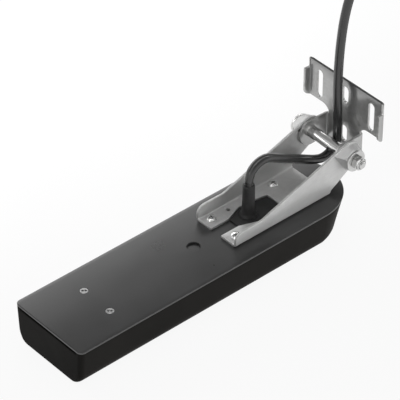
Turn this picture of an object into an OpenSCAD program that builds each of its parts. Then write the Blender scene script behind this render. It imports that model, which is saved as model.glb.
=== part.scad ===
// Transom-mount sonar transducer: moulded body, folded sheet brackets, pivot bolt and cable.
// Millimetres. +X points forward, +Y to port, +Z up; the flat bottom of the body is at z = 0.

/* [Body] */
// Length of the moulded body at its top face
body_l = 272.6; // [262:0.2:284]
// Width of the body at its top face
body_w = 74.2; // [66:0.2:90]
// Height of the body
body_h = 32.9; // [28:0.1:40]
// Draft of the long sides, degrees
side_draft = 3.7; // [0:0.1:5]
// Rake of the round nose, degrees
nose_rake = 19.3; // [10:0.1:24]
// Radius along the bottom edges and under the nose
edge_r = 11.3; // [4:0.1:14]
// Radius of the aft bottom edge
aft_edge_r = 1.7; // [0.8:0.1:4]
// Radius of the upright corners at the aft end
aft_corner_r = 4; // [2:0.1:8]
// Radius of the aft top edge
aft_top_r = 1.6; // [0.5:0.1:3]
// Thickness of the top cover
cover_t = 3; // [2:0.1:5]
// Height of the seam groove under the cover
seam_h = 0.5; // [0.2:0.1:1]
// Depth of the seam groove
seam_depth = 0.4; // [0.2:0.1:1]
// Diameter of the round recess in the cover
recess_d = 10; // [6:0.5:14]
// Depth of the round recess
recess_depth = 2.2; // [1:0.1:2.6]
// Distance of the recess from the aft end
recess_from_aft = 136; // [110:1:145]
// Diameter of the two flush pins in the cover
pin_d = 6.3; // [4:0.1:9]
// Distance of the pins from the aft end
pin_from_aft = 45; // [30:1:70]
// Distance between the two pins
pin_pitch = 29; // [20:1:40]

/* [Lower bracket] */
// Thickness of both folded sheets
sheet_t = 2; // [1.2:0.1:3]
// Outer width of the lower bracket
bracket_w = 44; // [40:0.5:60]
// Inside radius of the folds
fold_r = 1.4; // [0.8:0.1:2.5]
// Distance of the bracket's feet from the body's aft end
bracket_from_aft = 157.5; // [150:0.5:170]
// Length of the bracket's base
base_l = 94; // [88:0.5:100]
// Gap between the two feet
foot_gap = 10.8; // [8:0.2:14]
// Length of the straight gap between the feet
foot_gap_l = 17; // [12:0.5:22]
// Greatest width of the cut-out round the cable
cutout_w = 21.6; // [18:0.2:26]
// Width of the cut-out at its front edge
cutout_front_w = 15.6; // [12:0.2:20]
// Distance from the feet's edge to the cut-out's front edge
cutout_l = 57.5; // [48:0.5:62]
// Height of the low stretch of the side walls
wall_low_h = 12.2; // [9:0.1:16]
// Distance from the feet's edge to where the walls start to rise
wall_rise_from = 25.5; // [18:0.5:32]
// Height of the walls at the front end of the base
wall_front_h = 4; // [2.5:0.1:6]
// Radius of the walls' aft tips
wall_tip_r = 7; // [3:0.5:9]
// Distance from the feet's edge to the pivot
pivot_from_feet = 111; // [104:0.5:118]
// Height of the pivot above the body
pivot_h = 28.2; // [25:0.1:34]
// Radius of the lugs and of the arms' ends round the pivot
lug_r = 11.7; // [10.5:0.1:13]
// Height of the pressed boss on each lug
boss_h = 7; // [3:0.1:10]
// Radius of the boss at its top
boss_top_r = 8.9; // [7.5:0.1:9.5]

/* [Screws] */
// Diameter of the bracket screws
screw_d = 4; // [3:0.1:5]
// Diameter of the screw heads
screw_head_d = 8; // [6.5:0.1:10]
// Height of the screw heads
screw_head_h = 2.6; // [1.5:0.1:4]
// Length of the screws under the head
screw_l = 11; // [8:0.5:14]
// Distance between the two rows of screws
screw_pitch_y = 27; // [25:0.5:31]
// Distance from the feet's edge to the aft screws
screw_aft_from = 7.5; // [6:0.5:12]
// Distance from the feet's edge to the front screws
screw_front_from = 68.5; // [66:0.5:80]
// Diameter of the two small holes in the feet
spare_d = 3.2; // [2:0.1:4.5]
// Distance from the feet's edge to the small holes
spare_from = 24; // [18:0.5:30]
// Room round each screw in its hole
screw_clear = 0.05; // [0.02:0.01:0.2]

/* [Pivot] */
// Diameter of the pivot bolt
bolt_d = 6; // [5:0.1:7]
// Running clearance on the bolt's radius
run_clear = 0.05; // [0.02:0.01:0.09]
// Outer diameter of the spacer sleeve
sleeve_d = 9.4; // [8.5:0.1:10.5]
// Diameter of the large washers
washer_d = 17.4; // [13:0.1:17.6]
// Thickness of the large washers
washer_t = 1.6; // [1:0.1:2.5]
// Width across the flats of the nut
hex_af = 10; // [9:0.1:13]
// Diameter of the bolt's round head
head_d = 16; // [13:0.1:17]
// Height of the bolt's head
head_h = 4.2; // [3:0.1:6]
// Height of the lock nut
nut_h = 6; // [4:0.1:9]
// Length of bolt that stands out of the nut
bolt_out = 1.2; // [0.5:0.1:2]

/* [Upper bracket] */
// Outer width of the plate across its end flanges
plate_w = 81; // [74:0.5:100]
// Distance from the pivot to the plate's aft face
plate_from_pivot = 16.1; // [15.4:0.1:18]
// Height of the plate's top edge above the pivot
plate_top = 49.3; // [47:0.1:60]
// Height of the wings' bottom edge above the pivot
wing_bottom = 16; // [14:0.1:18]
// Depth of the end flanges
flange_depth = 6.6; // [5:0.1:9]
// Height of the relief notches at the tops of the flanges
relief_h = 8.5; // [5:0.1:12]
// Radius of the flanges' lower corners
flange_corner_r = 5; // [2:0.1:6]
// Inside radius of the bends at the ends of the plate
end_bend_r = 2.6; // [1.5:0.1:3]
// Radius where the wings run into the neck
neck_r = 8; // [5:0.1:10]
// Width of the slots
slot_w = 6; // [5:0.1:8]
// Length of the two outer slots
slot_l = 24.6; // [15:0.1:26]
// Length of the middle slot, whose top is level with the outer ones
mid_slot_l = 14; // [8:0.1:15]
// Distance between the slots
slot_pitch = 27.5; // [22:0.5:29]
// Height of the outer slots' middle above the pivot
slot_mid = 31; // [30:0.1:32]
// Length of the slot in the neck
neck_slot_l = 14; // [8:0.1:16]
// Height of the neck slot's middle above the pivot
neck_slot_mid = 0.8; // [-1:0.1:2]
// Room between the arms and the lower bracket's walls
arm_clear = 0.3; // [0.15:0.05:0.6]

/* [Strain relief and connector] */
// Diameter of the cable
cable_d = 7; // [6:0.1:8]
// Diameter of the strain relief at its top
boot_d = 9; // [8.4:0.1:11]
// Diameter of the strain relief's foot
boot_foot_d = 14; // [12:0.1:16]
// Height of the flare at the strain relief's foot
boot_foot_h = 4; // [3:0.1:8]
// Height of the raised pad under the strain relief
pad_h = 1.4; // [0.5:0.1:2.5]
// Room between the raised pad and the cut-out's edge
pad_clear = 0.6; // [0.3:0.1:1.2]
// Diameter of the connector's body
plug_d = 15; // [12:0.1:17]
// Length of the connector's body
plug_l = 20; // [14:0.5:28]
// Diameter of the connector's locking collar
collar_d = 19; // [18:0.1:19.6]
// Length of the locking collar
collar_l = 17; // [12:0.5:24]
// Wall of the locking collar
collar_wall = 1.8; // [1.2:0.1:2.4]
// Length of the connector's tapered boot
plug_boot_l = 22; // [14:0.5:30]
// Diameter of the connector's inner face
insert_d = 12; // [9:0.1:13]
// Length of the connector's inner face
insert_l = 12; // [8:0.5:14]
// Thickness of the tie round the coil
tie_t = 1.4; // [1:0.1:2]
// Width of the tie
tie_w = 14; // [8:0.5:20]

/* [Hidden] */
$fn = 64;
big = 400;

// Places along the length, with the middle of the whole object at x = 0
total_l = bracket_from_aft + pivot_from_feet + plate_from_pivot + sheet_t;
aft_x = -total_l / 2;
feet_x = aft_x + bracket_from_aft;
pivot_x = feet_x + pivot_from_feet;
pivot_z = body_h + pivot_h;
plate_x = pivot_x + plate_from_pivot;
base_top = body_h + sheet_t;

// The nose is a round end of the body's own width, and the rake leans it aft towards the bottom
nose_r = body_w / 2;
edge_x = aft_x + body_l - (edge_r + (body_h - edge_r) * sin(nose_rake)) / cos(nose_rake);
nose_x = aft_x + body_l - nose_r / cos(nose_rake);
bowl_r = nose_r - edge_r;

// Places across the width
wall_out = bracket_w / 2;
wall_in = wall_out - sheet_t;
arm_out = wall_in - arm_clear;
arm_in = arm_out - sheet_t;
seat_y = wall_out + boss_h;
washer_out = seat_y + washer_t;
nut_out = washer_out + nut_h;
bolt_end = nut_out + bolt_out;
bolt_r = bolt_d / 2;
hole_r = bolt_r + run_clear;
boss_r = lug_r - 0.5;
screw_x = [feet_x + screw_aft_from, feet_x + screw_front_from];
screw_y = screw_pitch_y / 2;

// Cable route in round numbers: out of the strain relief, under the sleeve, up behind the plate,
// over and down to the floor, and along it to the coil
lead = [[46, 0, 62.5], [46, 0, 64.5], [46, 0, 66.5], [48, 0, 72.5], [52, 0, 76.5], [58, 0, 78.5],
        [65, 0, 77.5], [75, 0, 72], [85, 0, 66.5], [95, 0, 61], [105, 0, 55.5], [113, 0, 51.5],
        [120, 0, 49.5], [127, 0, 51], [132.5, 0, 56], [134.5, 0, 63], [134.3, 0, 77], [133.6, 0, 92],
        [133.1, 0, 112], [133.5, 0, 132], [134.8, 0, 150], [137, -0.3, 168], [140.5, -1.5, 186],
        [146, -4, 203], [156, -8, 215], [168, -13, 220], [181, -19, 215], [190.5, -24, 204], [195, -26, 189],
        [195, -26, 170], [195, -26, 145], [195, -26, 120], [195, -26, 95], [195, -26, 70], [195, -26, 50],
        [195, -26, 34], [197, -26.5, 20], [204, -28.5, 9.5], [215, -31.5, 5], [228, -34, 5],
        [240, -35.3, 5], [252, -35.5, 5], [264.5, -35.5, 5]];
tail = [[331.5, -35.5, 40], [342, -35.5, 40], [352, -35.5, 38.5], [361, -35.2, 33], [369, -33.5, 25],
        [377, -31.5, 17], [386, -30.2, 12], [394, -30, 10.2], [400, -30, 10], [404, -30, 10],
        [408, -30, 10]];
coil_at = [298, 0];
coil_half = 33.5;
coil_rows = 6;
coil_columns = 3;
coil_mid_r = 28.5;
plug_x = tail[len(tail) - 1][0];
plug_y = tail[len(tail) - 1][1];
plug_z = tail[len(tail) - 1][2];
boot_x = lead[0][0];
boot_top = lead[0][2];
coil_in = coil_mid_r - coil_columns * cable_d / 2;
coil_out = coil_mid_r + coil_columns * cable_d / 2;
coil_low = tie_t + 0.1;
coil_h = coil_rows * cable_d;

black = [0.09, 0.09, 0.09];
charcoal = [0.22, 0.22, 0.22];
steel = [0.74, 0.74, 0.73];

// Corner maths for outlines with round corners
function unit(v) = v / norm(v);
function half_angle(p, q, r) = acos(unit(p - q) * unit(r - q)) / 2;
function corner_in(p, q, r, rad) = q + unit(p - q) * rad / tan(half_angle(p, q, r));
function corner_out(p, q, r, rad) = q + unit(r - q) * rad / tan(half_angle(p, q, r));
function corner_mid(p, q, r, rad) = q + unit(unit(p - q) + unit(r - q)) * rad / sin(half_angle(p, q, r));

// A convex outline whose corners are true arcs
module round_poly(pts, rads) {
    n = len(pts);
    polygon([for (i = [0:n - 1]) for (k = [0, 1])
        let (p = pts[(i + n - 1) % n], q = pts[i], r = pts[(i + 1) % n])
        k == 0 ? corner_in(p, q, r, rads[i]) : corner_out(p, q, r, rads[i])]);
    for (i = [0:n - 1])
        if (rads[i] > 0.05)
            translate(corner_mid(pts[(i + n - 1) % n], pts[i], pts[(i + 1) % n], rads[i]))
                circle(rads[i]);
}

// Where the tangent from p touches a circle; side is 1 for the left tangent and -1 for the right
function touch(p, c, r, side) =
    let (d = norm(c - p), a = atan2(c[1] - p[1], c[0] - p[0]) + side * asin(r / d))
    p + sqrt(d * d - r * r) * [cos(a), sin(a)];

// Extrusions along X and Y of outlines drawn in the YZ and XZ planes
module along_x(x, l) { translate([x, 0, 0]) rotate([90, 0, 90]) linear_extrude(l) children(); }
module along_y(y, l) { translate([0, y + l, 0]) rotate([90, 0, 0]) linear_extrude(l) children(); }
module axle_y(x, y, z) { translate([x, y, z]) rotate([-90, 0, 0]) children(); }

// A straight slot with round ends, drawn upright
module slot(w, l) {
    square([w, l - w], center = true);
    for (s = [-1, 1]) translate([0, s * (l - w) / 2]) circle(w / 2);
}

// The body's whole form, drawn in from its outside by inset
module body_form(inset = 0) {
    half = body_w / 2 - inset;
    foot = half - body_h * tan(side_draft);
    intersection() {
        along_x(aft_x + inset, body_l + 10)
            round_poly([[-foot, 0], [foot, 0], [half, body_h], [-half, body_h]], [edge_r, edge_r, 0.8, 0.8]);
        along_y(-big / 2, big)
            round_poly([[aft_x + inset, 0], [aft_x + body_l + 30, 0],
                        [aft_x + body_l + 30, body_h], [aft_x + inset, body_h]],
                       [aft_edge_r, 0, 0, aft_top_r]);
        translate([0, 0, -1]) linear_extrude(body_h + 2)
            round_poly([[aft_x + inset, -half], [aft_x + body_l + 30, -half],
                        [aft_x + body_l + 30, half], [aft_x + inset, half]],
                       [aft_corner_r, 0, 0, aft_corner_r]);
        nose_cut(inset);
        nose_bowl();
    }
}

// All that lies behind the round raked front
module nose_cut(inset) {
    translate([nose_x, 0, body_h]) rotate([0, nose_rake, 0]) {
        translate([-big, -big / 2, -big]) cube([big, big, 2 * big]);
        translate([0, 0, -big]) cylinder(r = nose_r - inset, h = 2 * big);
    }
}

// All that lies inside the round edge under the nose
module nose_bowl() {
    rise = body_h + 2 - edge_r;
    lip = bowl_r + (edge_r + rise * sin(nose_rake)) / cos(nose_rake);
    translate([-big, -big / 2, -1]) cube([big + edge_x - bowl_r, big, body_h + 3]);
    translate([edge_x - bowl_r, 0, 0]) rotate_extrude() intersection() {
        round_poly([[-lip, body_h + 2], [edge_x_foot(-1), 0], [edge_x_foot(1), 0], [lip, body_h + 2]],
                   [0, edge_r, edge_r, 0]);
        square(big);
    }
}

// Where the raked front would meet the bottom without the round edge, from the bowl's middle
function edge_x_foot(s) = s * (bowl_r + edge_r * tan(45 - nose_rake / 2));

module slab(z0, z1) { translate([-big, -big, z0]) cube([2 * big, 2 * big, z1 - z0]); }

module screw_holes(depth) {
    for (x = screw_x, s = [-1, 1])
        translate([x, s * screw_y, body_h - depth]) cylinder(d = screw_d + 2 * screw_clear, h = depth + 1);
}

screw_depth = screw_l - sheet_t + 0.5;

module housing() {
    color(black) difference() {
        intersection() { body_form(); slab(-1, body_h - cover_t); }
        screw_holes(screw_depth);
    }
}

module top_cover() {
    color(charcoal) difference() {
        union() {
            intersection() { body_form(); slab(body_h - cover_t + seam_h, body_h + 1); }
            intersection() { body_form(seam_depth); slab(body_h - cover_t, body_h - cover_t + seam_h); }
            translate([0, 0, body_h]) linear_extrude(pad_h) cable_pad();
        }
        translate([aft_x + recess_from_aft, 0, body_h - recess_depth]) cylinder(d = recess_d, h = cover_t);
        for (s = [-1, 1])
            translate([aft_x + pin_from_aft, s * pin_pitch / 2, body_h - cover_t - 1])
                cylinder(d = pin_d + 2 * screw_clear, h = cover_t + 2);
        screw_holes(cover_t + 1);
    }
}

module cover_pin(side) {
    color(steel) difference() {
        translate([aft_x + pin_from_aft, side * pin_pitch / 2, body_h - cover_t])
            cylinder(d = pin_d, h = cover_t);
        for (k = [-1, 1])
            translate([aft_x + pin_from_aft, side * pin_pitch / 2 + k * pin_d / 5, body_h - 0.8])
                cylinder(d = pin_d / 5, h = 1);
    }
}

// The cut-out round the cable: a gap between the feet that opens into a wider window
module cutout(shrink = 0) {
    back = feet_x + foot_gap_l + shrink;
    wide = feet_x + cutout_l * 0.55;
    turn = feet_x + cutout_l * 0.8;
    front = feet_x + cutout_l - shrink;
    gap_y = foot_gap / 2 - shrink;
    wide_y = cutout_w / 2 - shrink;
    turn_y = cutout_w * 0.46 - shrink;
    front_y = cutout_front_w / 2 - shrink;
    polygon([[feet_x - 1, gap_y], [back, gap_y], [wide, wide_y], [turn, turn_y], [front, front_y],
             [front, -front_y], [turn, -turn_y], [wide, -wide_y], [back, -gap_y], [feet_x - 1, -gap_y]]);
}

module cable_pad() {
    intersection() {
        cutout(pad_clear);
        translate([feet_x + foot_gap_l, -cutout_w]) square([cutout_l, 2 * cutout_w]);
    }
}

module strain_relief() {
    foot_z = body_h + pad_h;
    color(black) translate([boot_x, 0, 0]) rotate_extrude()
        polygon([[0, foot_z], [boot_foot_d / 2, foot_z], [boot_foot_d / 2 - 0.3, foot_z + boot_foot_h * 0.3],
                 [boot_d / 2 + 1.4, foot_z + boot_foot_h], [boot_d / 2, boot_top - 1.5],
                 [boot_d / 2 - 0.4, boot_top - 0.4], [boot_d / 2 - 0.9, boot_top], [0, boot_top]]);
}

// Cross-section of a folded channel: open upwards, with round folds
module channel(half, h, t, r) {
    difference() {
        round_poly([[-half, 0], [half, 0], [half, h], [-half, h]], [r + t, r + t, 0, 0]);
        round_poly([[t - half, t], [half - t, t], [half - t, h + 1], [t - half, h + 1]], [r, r, 0, 0]);
    }
}

// Side outline of the lower bracket, with tangents that run to the round lugs
module wall_outline() {
    rise = [feet_x + wall_rise_from, body_h + wall_low_h];
    front = [feet_x + base_l, body_h + wall_front_h];
    c = [pivot_x, pivot_z];
    round_poly([[feet_x, body_h - 1], [rise[0] + 30, body_h - 1],
                [rise[0] + 30, rise[1]], [feet_x, rise[1]]], [0, 0, 0, wall_tip_r]);
    polygon([rise, touch(rise, c, lug_r, 1), c, touch(front, c, lug_r, -1), front,
             [front[0], body_h - 1], [rise[0], body_h - 1]]);
    translate(c) circle(lug_r);
}

module transducer_bracket() {
    color(steel) difference() {
        union() {
            intersection() {
                translate([0, 0, body_h]) along_x(feet_x, pivot_from_feet + lug_r + 5)
                    channel(wall_out, pivot_h + lug_r + 5, sheet_t, fold_r);
                along_y(-big / 2, big) wall_outline();
            }
            for (s = [-1, 1]) boss(s);
        }
        translate([0, 0, body_h - 1]) linear_extrude(sheet_t + 2) cutout();
        for (s = [-1, 1]) {
            for (x = screw_x)
                translate([x, s * screw_y, body_h - 1])
                    cylinder(d = screw_d + 2 * screw_clear, h = sheet_t + 2);
            translate([feet_x + spare_from, s * screw_y, body_h - 1]) cylinder(d = spare_d, h = sheet_t + 2);
            boss_inside(s);
        }
        axle_y(pivot_x, -big / 2, pivot_z) cylinder(r = hole_r, h = big);
    }
}

// The pressed boss: a short hollow cone that carries the washer
module boss(s) {
    axle_y(pivot_x, 0, pivot_z) mirror([0, 0, s < 0 ? 1 : 0]) rotate_extrude()
        polygon([[0, wall_in], [boss_r, wall_in], [boss_r, wall_out], [boss_top_r, seat_y], [0, seat_y]]);
}

module boss_inside(s) {
    axle_y(pivot_x, 0, pivot_z) mirror([0, 0, s < 0 ? 1 : 0]) rotate_extrude()
        polygon([[0, wall_in - 1], [boss_r - sheet_t, wall_in - 1], [boss_r - sheet_t, wall_in],
                 [boss_top_r - sheet_t, seat_y - sheet_t], [0, seat_y - sheet_t]]);
}

module bracket_screw(i, s) {
    color(steel) translate([screw_x[i], s * screw_y, base_top]) rotate_extrude()
        polygon([[0, screw_head_h], [screw_head_d * 0.22, screw_head_h],
                 [screw_head_d * 0.4, screw_head_h * 0.82], [screw_head_d / 2, screw_head_h * 0.4],
                 [screw_head_d / 2, 0], [screw_d / 2, 0], [screw_d / 2, 0.6 - screw_l],
                 [screw_d / 2 - 0.6, -screw_l], [0, -screw_l]]);
}

module hexagon(af) { circle(r = af / 2 / cos(30), $fn = 6); }

module pivot_bolt() {
    color(steel) axle_y(pivot_x, 0, pivot_z) {
        translate([0, 0, -bolt_end]) cylinder(r = bolt_r, h = bolt_end + washer_out);
        translate([0, 0, washer_out]) rotate_extrude()
            polygon([[0, 0], [head_d / 2, 0], [head_d / 2, head_h * 0.3], [head_d * 0.47, head_h * 0.55],
                     [head_d * 0.4, head_h * 0.78], [head_d * 0.28, head_h * 0.94],
                     [head_d * 0.12, head_h], [0, head_h]]);
    }
}

module pivot_sleeve() {
    color(steel) axle_y(pivot_x, -arm_in, pivot_z) rotate_extrude()
        polygon([[hole_r, 0], [sleeve_d / 2, 0], [sleeve_d / 2, 2 * arm_in], [hole_r, 2 * arm_in]]);
}

module pivot_washer(s) {
    y = s > 0 ? seat_y : -washer_out;
    color(steel) axle_y(pivot_x, y, pivot_z) rotate_extrude()
        polygon([[hole_r, 0], [washer_d / 2, 0], [washer_d / 2, washer_t], [hole_r, washer_t]]);
}

module pivot_nut() {
    ring_r = hex_af * 0.46;
    color(steel) axle_y(pivot_x, -nut_out, pivot_z) difference() {
        union() {
            translate([0, 0, nut_h * 0.25]) linear_extrude(nut_h * 0.75) hexagon(hex_af);
            cylinder(r1 = ring_r - 0.8, r2 = ring_r, h = nut_h * 0.25);
        }
        translate([0, 0, -1]) cylinder(r = bolt_r + screw_clear, h = nut_h + 2);
    }
}

// Plan of the plate with its two end flanges folded aft
module wing_plan() {
    translate([plate_x + sheet_t, 0]) rotate(90)
        channel(plate_w / 2, flange_depth, sheet_t, end_bend_r);
}

// Plan of the neck with its two arms folded aft
module arm_plan() {
    translate([plate_x + sheet_t, 0]) rotate(90)
        channel(arm_out, plate_from_pivot + lug_r + 6, sheet_t, fold_r);
}

module square_from(p, q) { translate(p) square(q - p); }

// Neck between the wings and the arms, with a round run-out on each side
module neck_outline() {
    half = arm_out - fold_r - sheet_t;
    top = pivot_z + wing_bottom;
    difference() {
        square_from([-half - neck_r, pivot_z - lug_r], [half + neck_r, top + 1]);
        for (s = [-1, 1]) {
            translate([s * (half + neck_r), top - neck_r]) circle(neck_r);
            translate([s * (half + neck_r / 2), (pivot_z - lug_r + top - neck_r) / 2 - 0.5])
                square([neck_r, top - neck_r - pivot_z + lug_r + 1], center = true);
        }
    }
}

module arm_outline() {
    translate([pivot_x, pivot_z]) {
        circle(lug_r);
        square_from([0, -lug_r], [plate_from_pivot + sheet_t + 1, lug_r - 1.2]);
    }
}

// Lower corner of a flange, rounded off towards its free edge
module flange_outline() {
    back = plate_x + sheet_t - flange_depth - 0.01;
    front = plate_x + sheet_t + 1;
    low = pivot_z + wing_bottom - 0.01;
    high = pivot_z + plate_top + 1;
    round_poly([[back, low], [front, low], [front, high], [back, high]], [flange_corner_r, 0, 0, 0]);
}

module transom_bracket() {
    color(steel) difference() {
        union() {
            intersection() {
                translate([0, 0, pivot_z + wing_bottom]) linear_extrude(plate_top - wing_bottom) wing_plan();
                along_y(-big / 2, big) flange_outline();
            }
            along_x(plate_x, sheet_t) neck_outline();
            intersection() {
                translate([0, 0, pivot_z - lug_r]) linear_extrude(2 * lug_r) arm_plan();
                along_y(-big / 2, big) arm_outline();
            }
        }
        along_x(plate_x - 1, sheet_t + 2) {
            for (s = [-1, 1]) translate([s * slot_pitch, pivot_z + slot_mid]) slot(slot_w, slot_l);
            translate([0, pivot_z + slot_mid + (slot_l - mid_slot_l) / 2]) slot(slot_w, mid_slot_l);
            translate([0, pivot_z + neck_slot_mid]) slot(slot_w, neck_slot_l);
        }
        translate([plate_x - big - end_bend_r * 0.3, -big / 2, pivot_z + plate_top - relief_h])
            cube([big, big, relief_h + 1]);
        axle_y(pivot_x, -big / 2, pivot_z) cylinder(r = hole_r, h = big);
    }
}

// Smooth path through the route's points, and rings carried along it without twist
function spline(p, i, u) =
    let (n = len(p) - 1, a = p[max(i - 1, 0)], b = p[i], c = p[min(i + 1, n)], d = p[min(i + 2, n)])
    0.5 * (2 * b + (c - a) * u + (2 * a - 5 * b + 4 * c - d) * u * u + (3 * b - a - 3 * c + d) * u * u * u);
function path(p, steps) = concat([for (i = [0:len(p) - 2]) for (k = [0:steps - 1]) spline(p, i, k / steps)],
                                 [p[len(p) - 1]]);
function heading(p, i) = unit(p[min(i + 1, len(p) - 1)] - p[max(i - 1, 0)]);
function carry(p, i, n) = i == len(p) ? n
    : carry(p, i + 1, concat(n, [unit(n[i - 1] - heading(p, i) * (n[i - 1] * heading(p, i)))]));

module tube(route, d, steps, first, sides = 10) {
    p = path(route, steps);
    n = carry(p, 1, [first]);
    rings = [for (i = [0:len(p) - 1]) for (k = [0:sides - 1])
        p[i] + d / 2 * (cos(360 * k / sides) * n[i] + sin(360 * k / sides) * cross(heading(p, i), n[i]))];
    m = len(p);
    faces = concat([[for (k = [0:sides - 1]) k]], [[for (k = [sides - 1:-1:0]) (m - 1) * sides + k]],
        [for (i = [0:m - 2]) for (k = [0:sides - 1])
            let (a = i * sides, b = a + sides, next = (k + 1) % sides) [a + k, b + k, b + next, a + next]]);
    polyhedron(rings, faces);
}

module cable() { color(black) tube(lead, cable_d, 2, [0, 1, 0]); }

module cable_tail() { color(black) tube(tail, cable_d, 2, [0, 1, 0]); }

module coil_section(grow = 0) {
    c = cable_d / 2 + grow;
    round_poly([[coil_in - grow, coil_low - grow], [coil_out + grow, coil_low - grow],
                [coil_out + grow, coil_low + coil_h + grow], [coil_in - grow, coil_low + coil_h + grow]],
               [c, c, c, c]);
}

module cable_coil() {
    color(black) translate([coil_at[0], coil_at[1], 0]) for (turn = [0, 180]) rotate(turn) {
        translate([coil_half, 0, 0]) rotate(-90) rotate_extrude(angle = 180) coil_section();
        translate([-coil_half, 0, 0]) rotate([90, 0, 90]) linear_extrude(2 * coil_half) coil_section();
    }
}

module coil_tie() {
    color(charcoal) translate([coil_at[0] + tie_w / 2, coil_at[1], 0]) rotate([90, 0, -90])
        linear_extrude(tie_w) difference() {
            coil_section(tie_t + 0.1);
            coil_section(0.1);
        }
}

module axle_x(x) { translate([x, plug_y, plug_z]) rotate([0, 90, 0]) children(); }

module connector_boot() {
    color(black) axle_x(plug_x) rotate_extrude()
        polygon([[0, 0], [cable_d / 2 + 0.9, 0], [cable_d / 2 + 1.2, plug_boot_l * 0.3],
                 [plug_d * 0.4, plug_boot_l * 0.8], [plug_d * 0.4, plug_boot_l], [0, plug_boot_l]]);
}

module connector_body() {
    color(black) axle_x(plug_x + plug_boot_l) rotate_extrude()
        polygon([[0, 0], [plug_d / 2 - 1, 0], [plug_d / 2, 1], [plug_d / 2, plug_l], [0, plug_l]]);
}

module connector_collar() {
    color(charcoal) axle_x(plug_x + plug_boot_l + plug_l - collar_l * 0.4) rotate_extrude()
        polygon([[plug_d / 2 + 0.1, 0], [collar_d / 2 - 0.6, 0], [collar_d / 2, 0.6],
                 [collar_d / 2, collar_l - 0.6], [collar_d / 2 - 0.6, collar_l],
                 [collar_d / 2 - collar_wall, collar_l], [plug_d / 2 + 0.1, collar_l * 0.4]]);
}

module connector_insert() {
    color(charcoal) axle_x(plug_x + plug_boot_l + plug_l) rotate_extrude()
        polygon([[0, 0], [insert_d / 2, 0], [insert_d / 2, insert_l - 0.5], [insert_d / 2 - 0.5, insert_l],
                 [0, insert_l]]);
}

housing();
top_cover();
cover_pin(1);  // cover_pin_port
cover_pin(-1);  // cover_pin_starboard
strain_relief();
transducer_bracket();
bracket_screw(0, 1);  // bracket_screw_1
bracket_screw(0, -1);  // bracket_screw_2
bracket_screw(1, 1);  // bracket_screw_3
bracket_screw(1, -1);  // bracket_screw_4
pivot_bolt();
pivot_sleeve();
pivot_washer(1);  // pivot_washer_port
pivot_washer(-1);  // pivot_washer_starboard
pivot_nut();
transom_bracket();
cable();
cable_coil();
cable_tail();
coil_tie();
connector_boot();
connector_body();
connector_collar();
connector_insert();
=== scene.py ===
"""Transom-mount sonar transducer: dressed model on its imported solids, with camera, light and finishes.

Shapes are worked out in millimetres as whole numpy arrays, in the frame of the solids: +X forward, +Y to
port, +Z up, with the flat bottom of the body at z = 0. They are written to the scene in metres.
"""
import logging
import math
from dataclasses import dataclass, replace
from enum import Enum
from typing import Any, Callable, Sequence

import bmesh
import bpy
import numpy as np
from mathutils import Matrix
from mathutils.geometry import delaunay_2d_cdt
from numpy.typing import NDArray

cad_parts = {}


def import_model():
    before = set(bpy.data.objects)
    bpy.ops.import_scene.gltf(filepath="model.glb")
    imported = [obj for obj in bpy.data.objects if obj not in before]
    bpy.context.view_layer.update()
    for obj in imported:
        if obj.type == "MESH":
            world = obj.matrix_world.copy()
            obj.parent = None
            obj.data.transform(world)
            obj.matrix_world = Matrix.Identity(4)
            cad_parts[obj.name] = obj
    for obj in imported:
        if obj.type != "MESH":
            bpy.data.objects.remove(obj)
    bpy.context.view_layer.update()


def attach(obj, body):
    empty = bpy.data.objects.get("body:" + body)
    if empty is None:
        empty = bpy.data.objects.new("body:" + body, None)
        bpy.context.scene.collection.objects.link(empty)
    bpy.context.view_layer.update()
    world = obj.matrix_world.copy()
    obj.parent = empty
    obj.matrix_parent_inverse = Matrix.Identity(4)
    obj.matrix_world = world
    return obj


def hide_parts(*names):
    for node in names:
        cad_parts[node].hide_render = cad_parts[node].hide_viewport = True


LOG = logging.getLogger("transducer")
MM = 0.001
QUARTER, FULL = math.pi / 2.0, 2.0 * math.pi
SIDES = (1, -1)
SIDE_NAMES = ((1, "port"), (-1, "starboard"))
Array = NDArray[np.float64]
Index = NDArray[np.int64]
Triple = tuple[float, float, float]
Profile = tuple[Array, Array, Array]
NO_TRIS = np.zeros((0, 3), np.int64)
NO_QUADS = np.zeros((0, 4), np.int64)
NO_POINTS = np.zeros((0, 2))


class Body(str, Enum):
    """The two rigid bodies that pieces ride on."""

    TRANSDUCER = "transducer"
    TRANSOM_MOUNT = "transom_mount"


class Axis(Enum):
    """Axis of a turned piece, as three rows: along it, and two directions across it."""

    X = ((1, 0, 0), (0, 1, 0), (0, 0, 1))
    Y = ((0, 1, 0), (0, 0, 1), (1, 0, 0))
    Z = ((0, 0, 1), (1, 0, 0), (0, 1, 0))


@dataclass(frozen=True)
class Datum:
    """Places that several sub-assemblies share, in millimetres."""

    aft_x: float = -143.3
    feet_x: float = 14.2
    top_z: float = 32.9
    sheet_t: float = 2.0
    pivot_x: float = 125.2
    pivot_z: float = 61.1
    plate_x: float = 141.3
    bolt_r: float = 3.0
    hole_r: float = 3.05
    wall_in: float = 20.0
    seat_y: float = 29.0
    washer_t: float = 1.6
    lug_r: float = 11.7


DATUM = Datum()


# Surface patches


@dataclass
class Patch:
    """A stretch of surface: points in millimetres, faces, a mark per point for rubbed wear, painted edge
    highlights and painted shade, and a flat map.
    """

    points: Array
    quads: Index
    tris: Index
    edge: Array
    uv: Array


def unit(v: Array) -> Array:
    """Rows scaled to length one."""
    return v / np.maximum(np.linalg.norm(v, axis=-1, keepdims=True), 1e-12)


def smooth(x: Array) -> Array:
    """Soft step 3x^2 - 2x^3 between 0 and 1."""
    t = np.clip(x, 0.0, 1.0)
    return t * t * (3.0 - 2.0 * t)


def circle(count: int) -> Array:
    """Column of angles once round."""
    return np.linspace(0.0, FULL, count, endpoint=False)[:, None]


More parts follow.
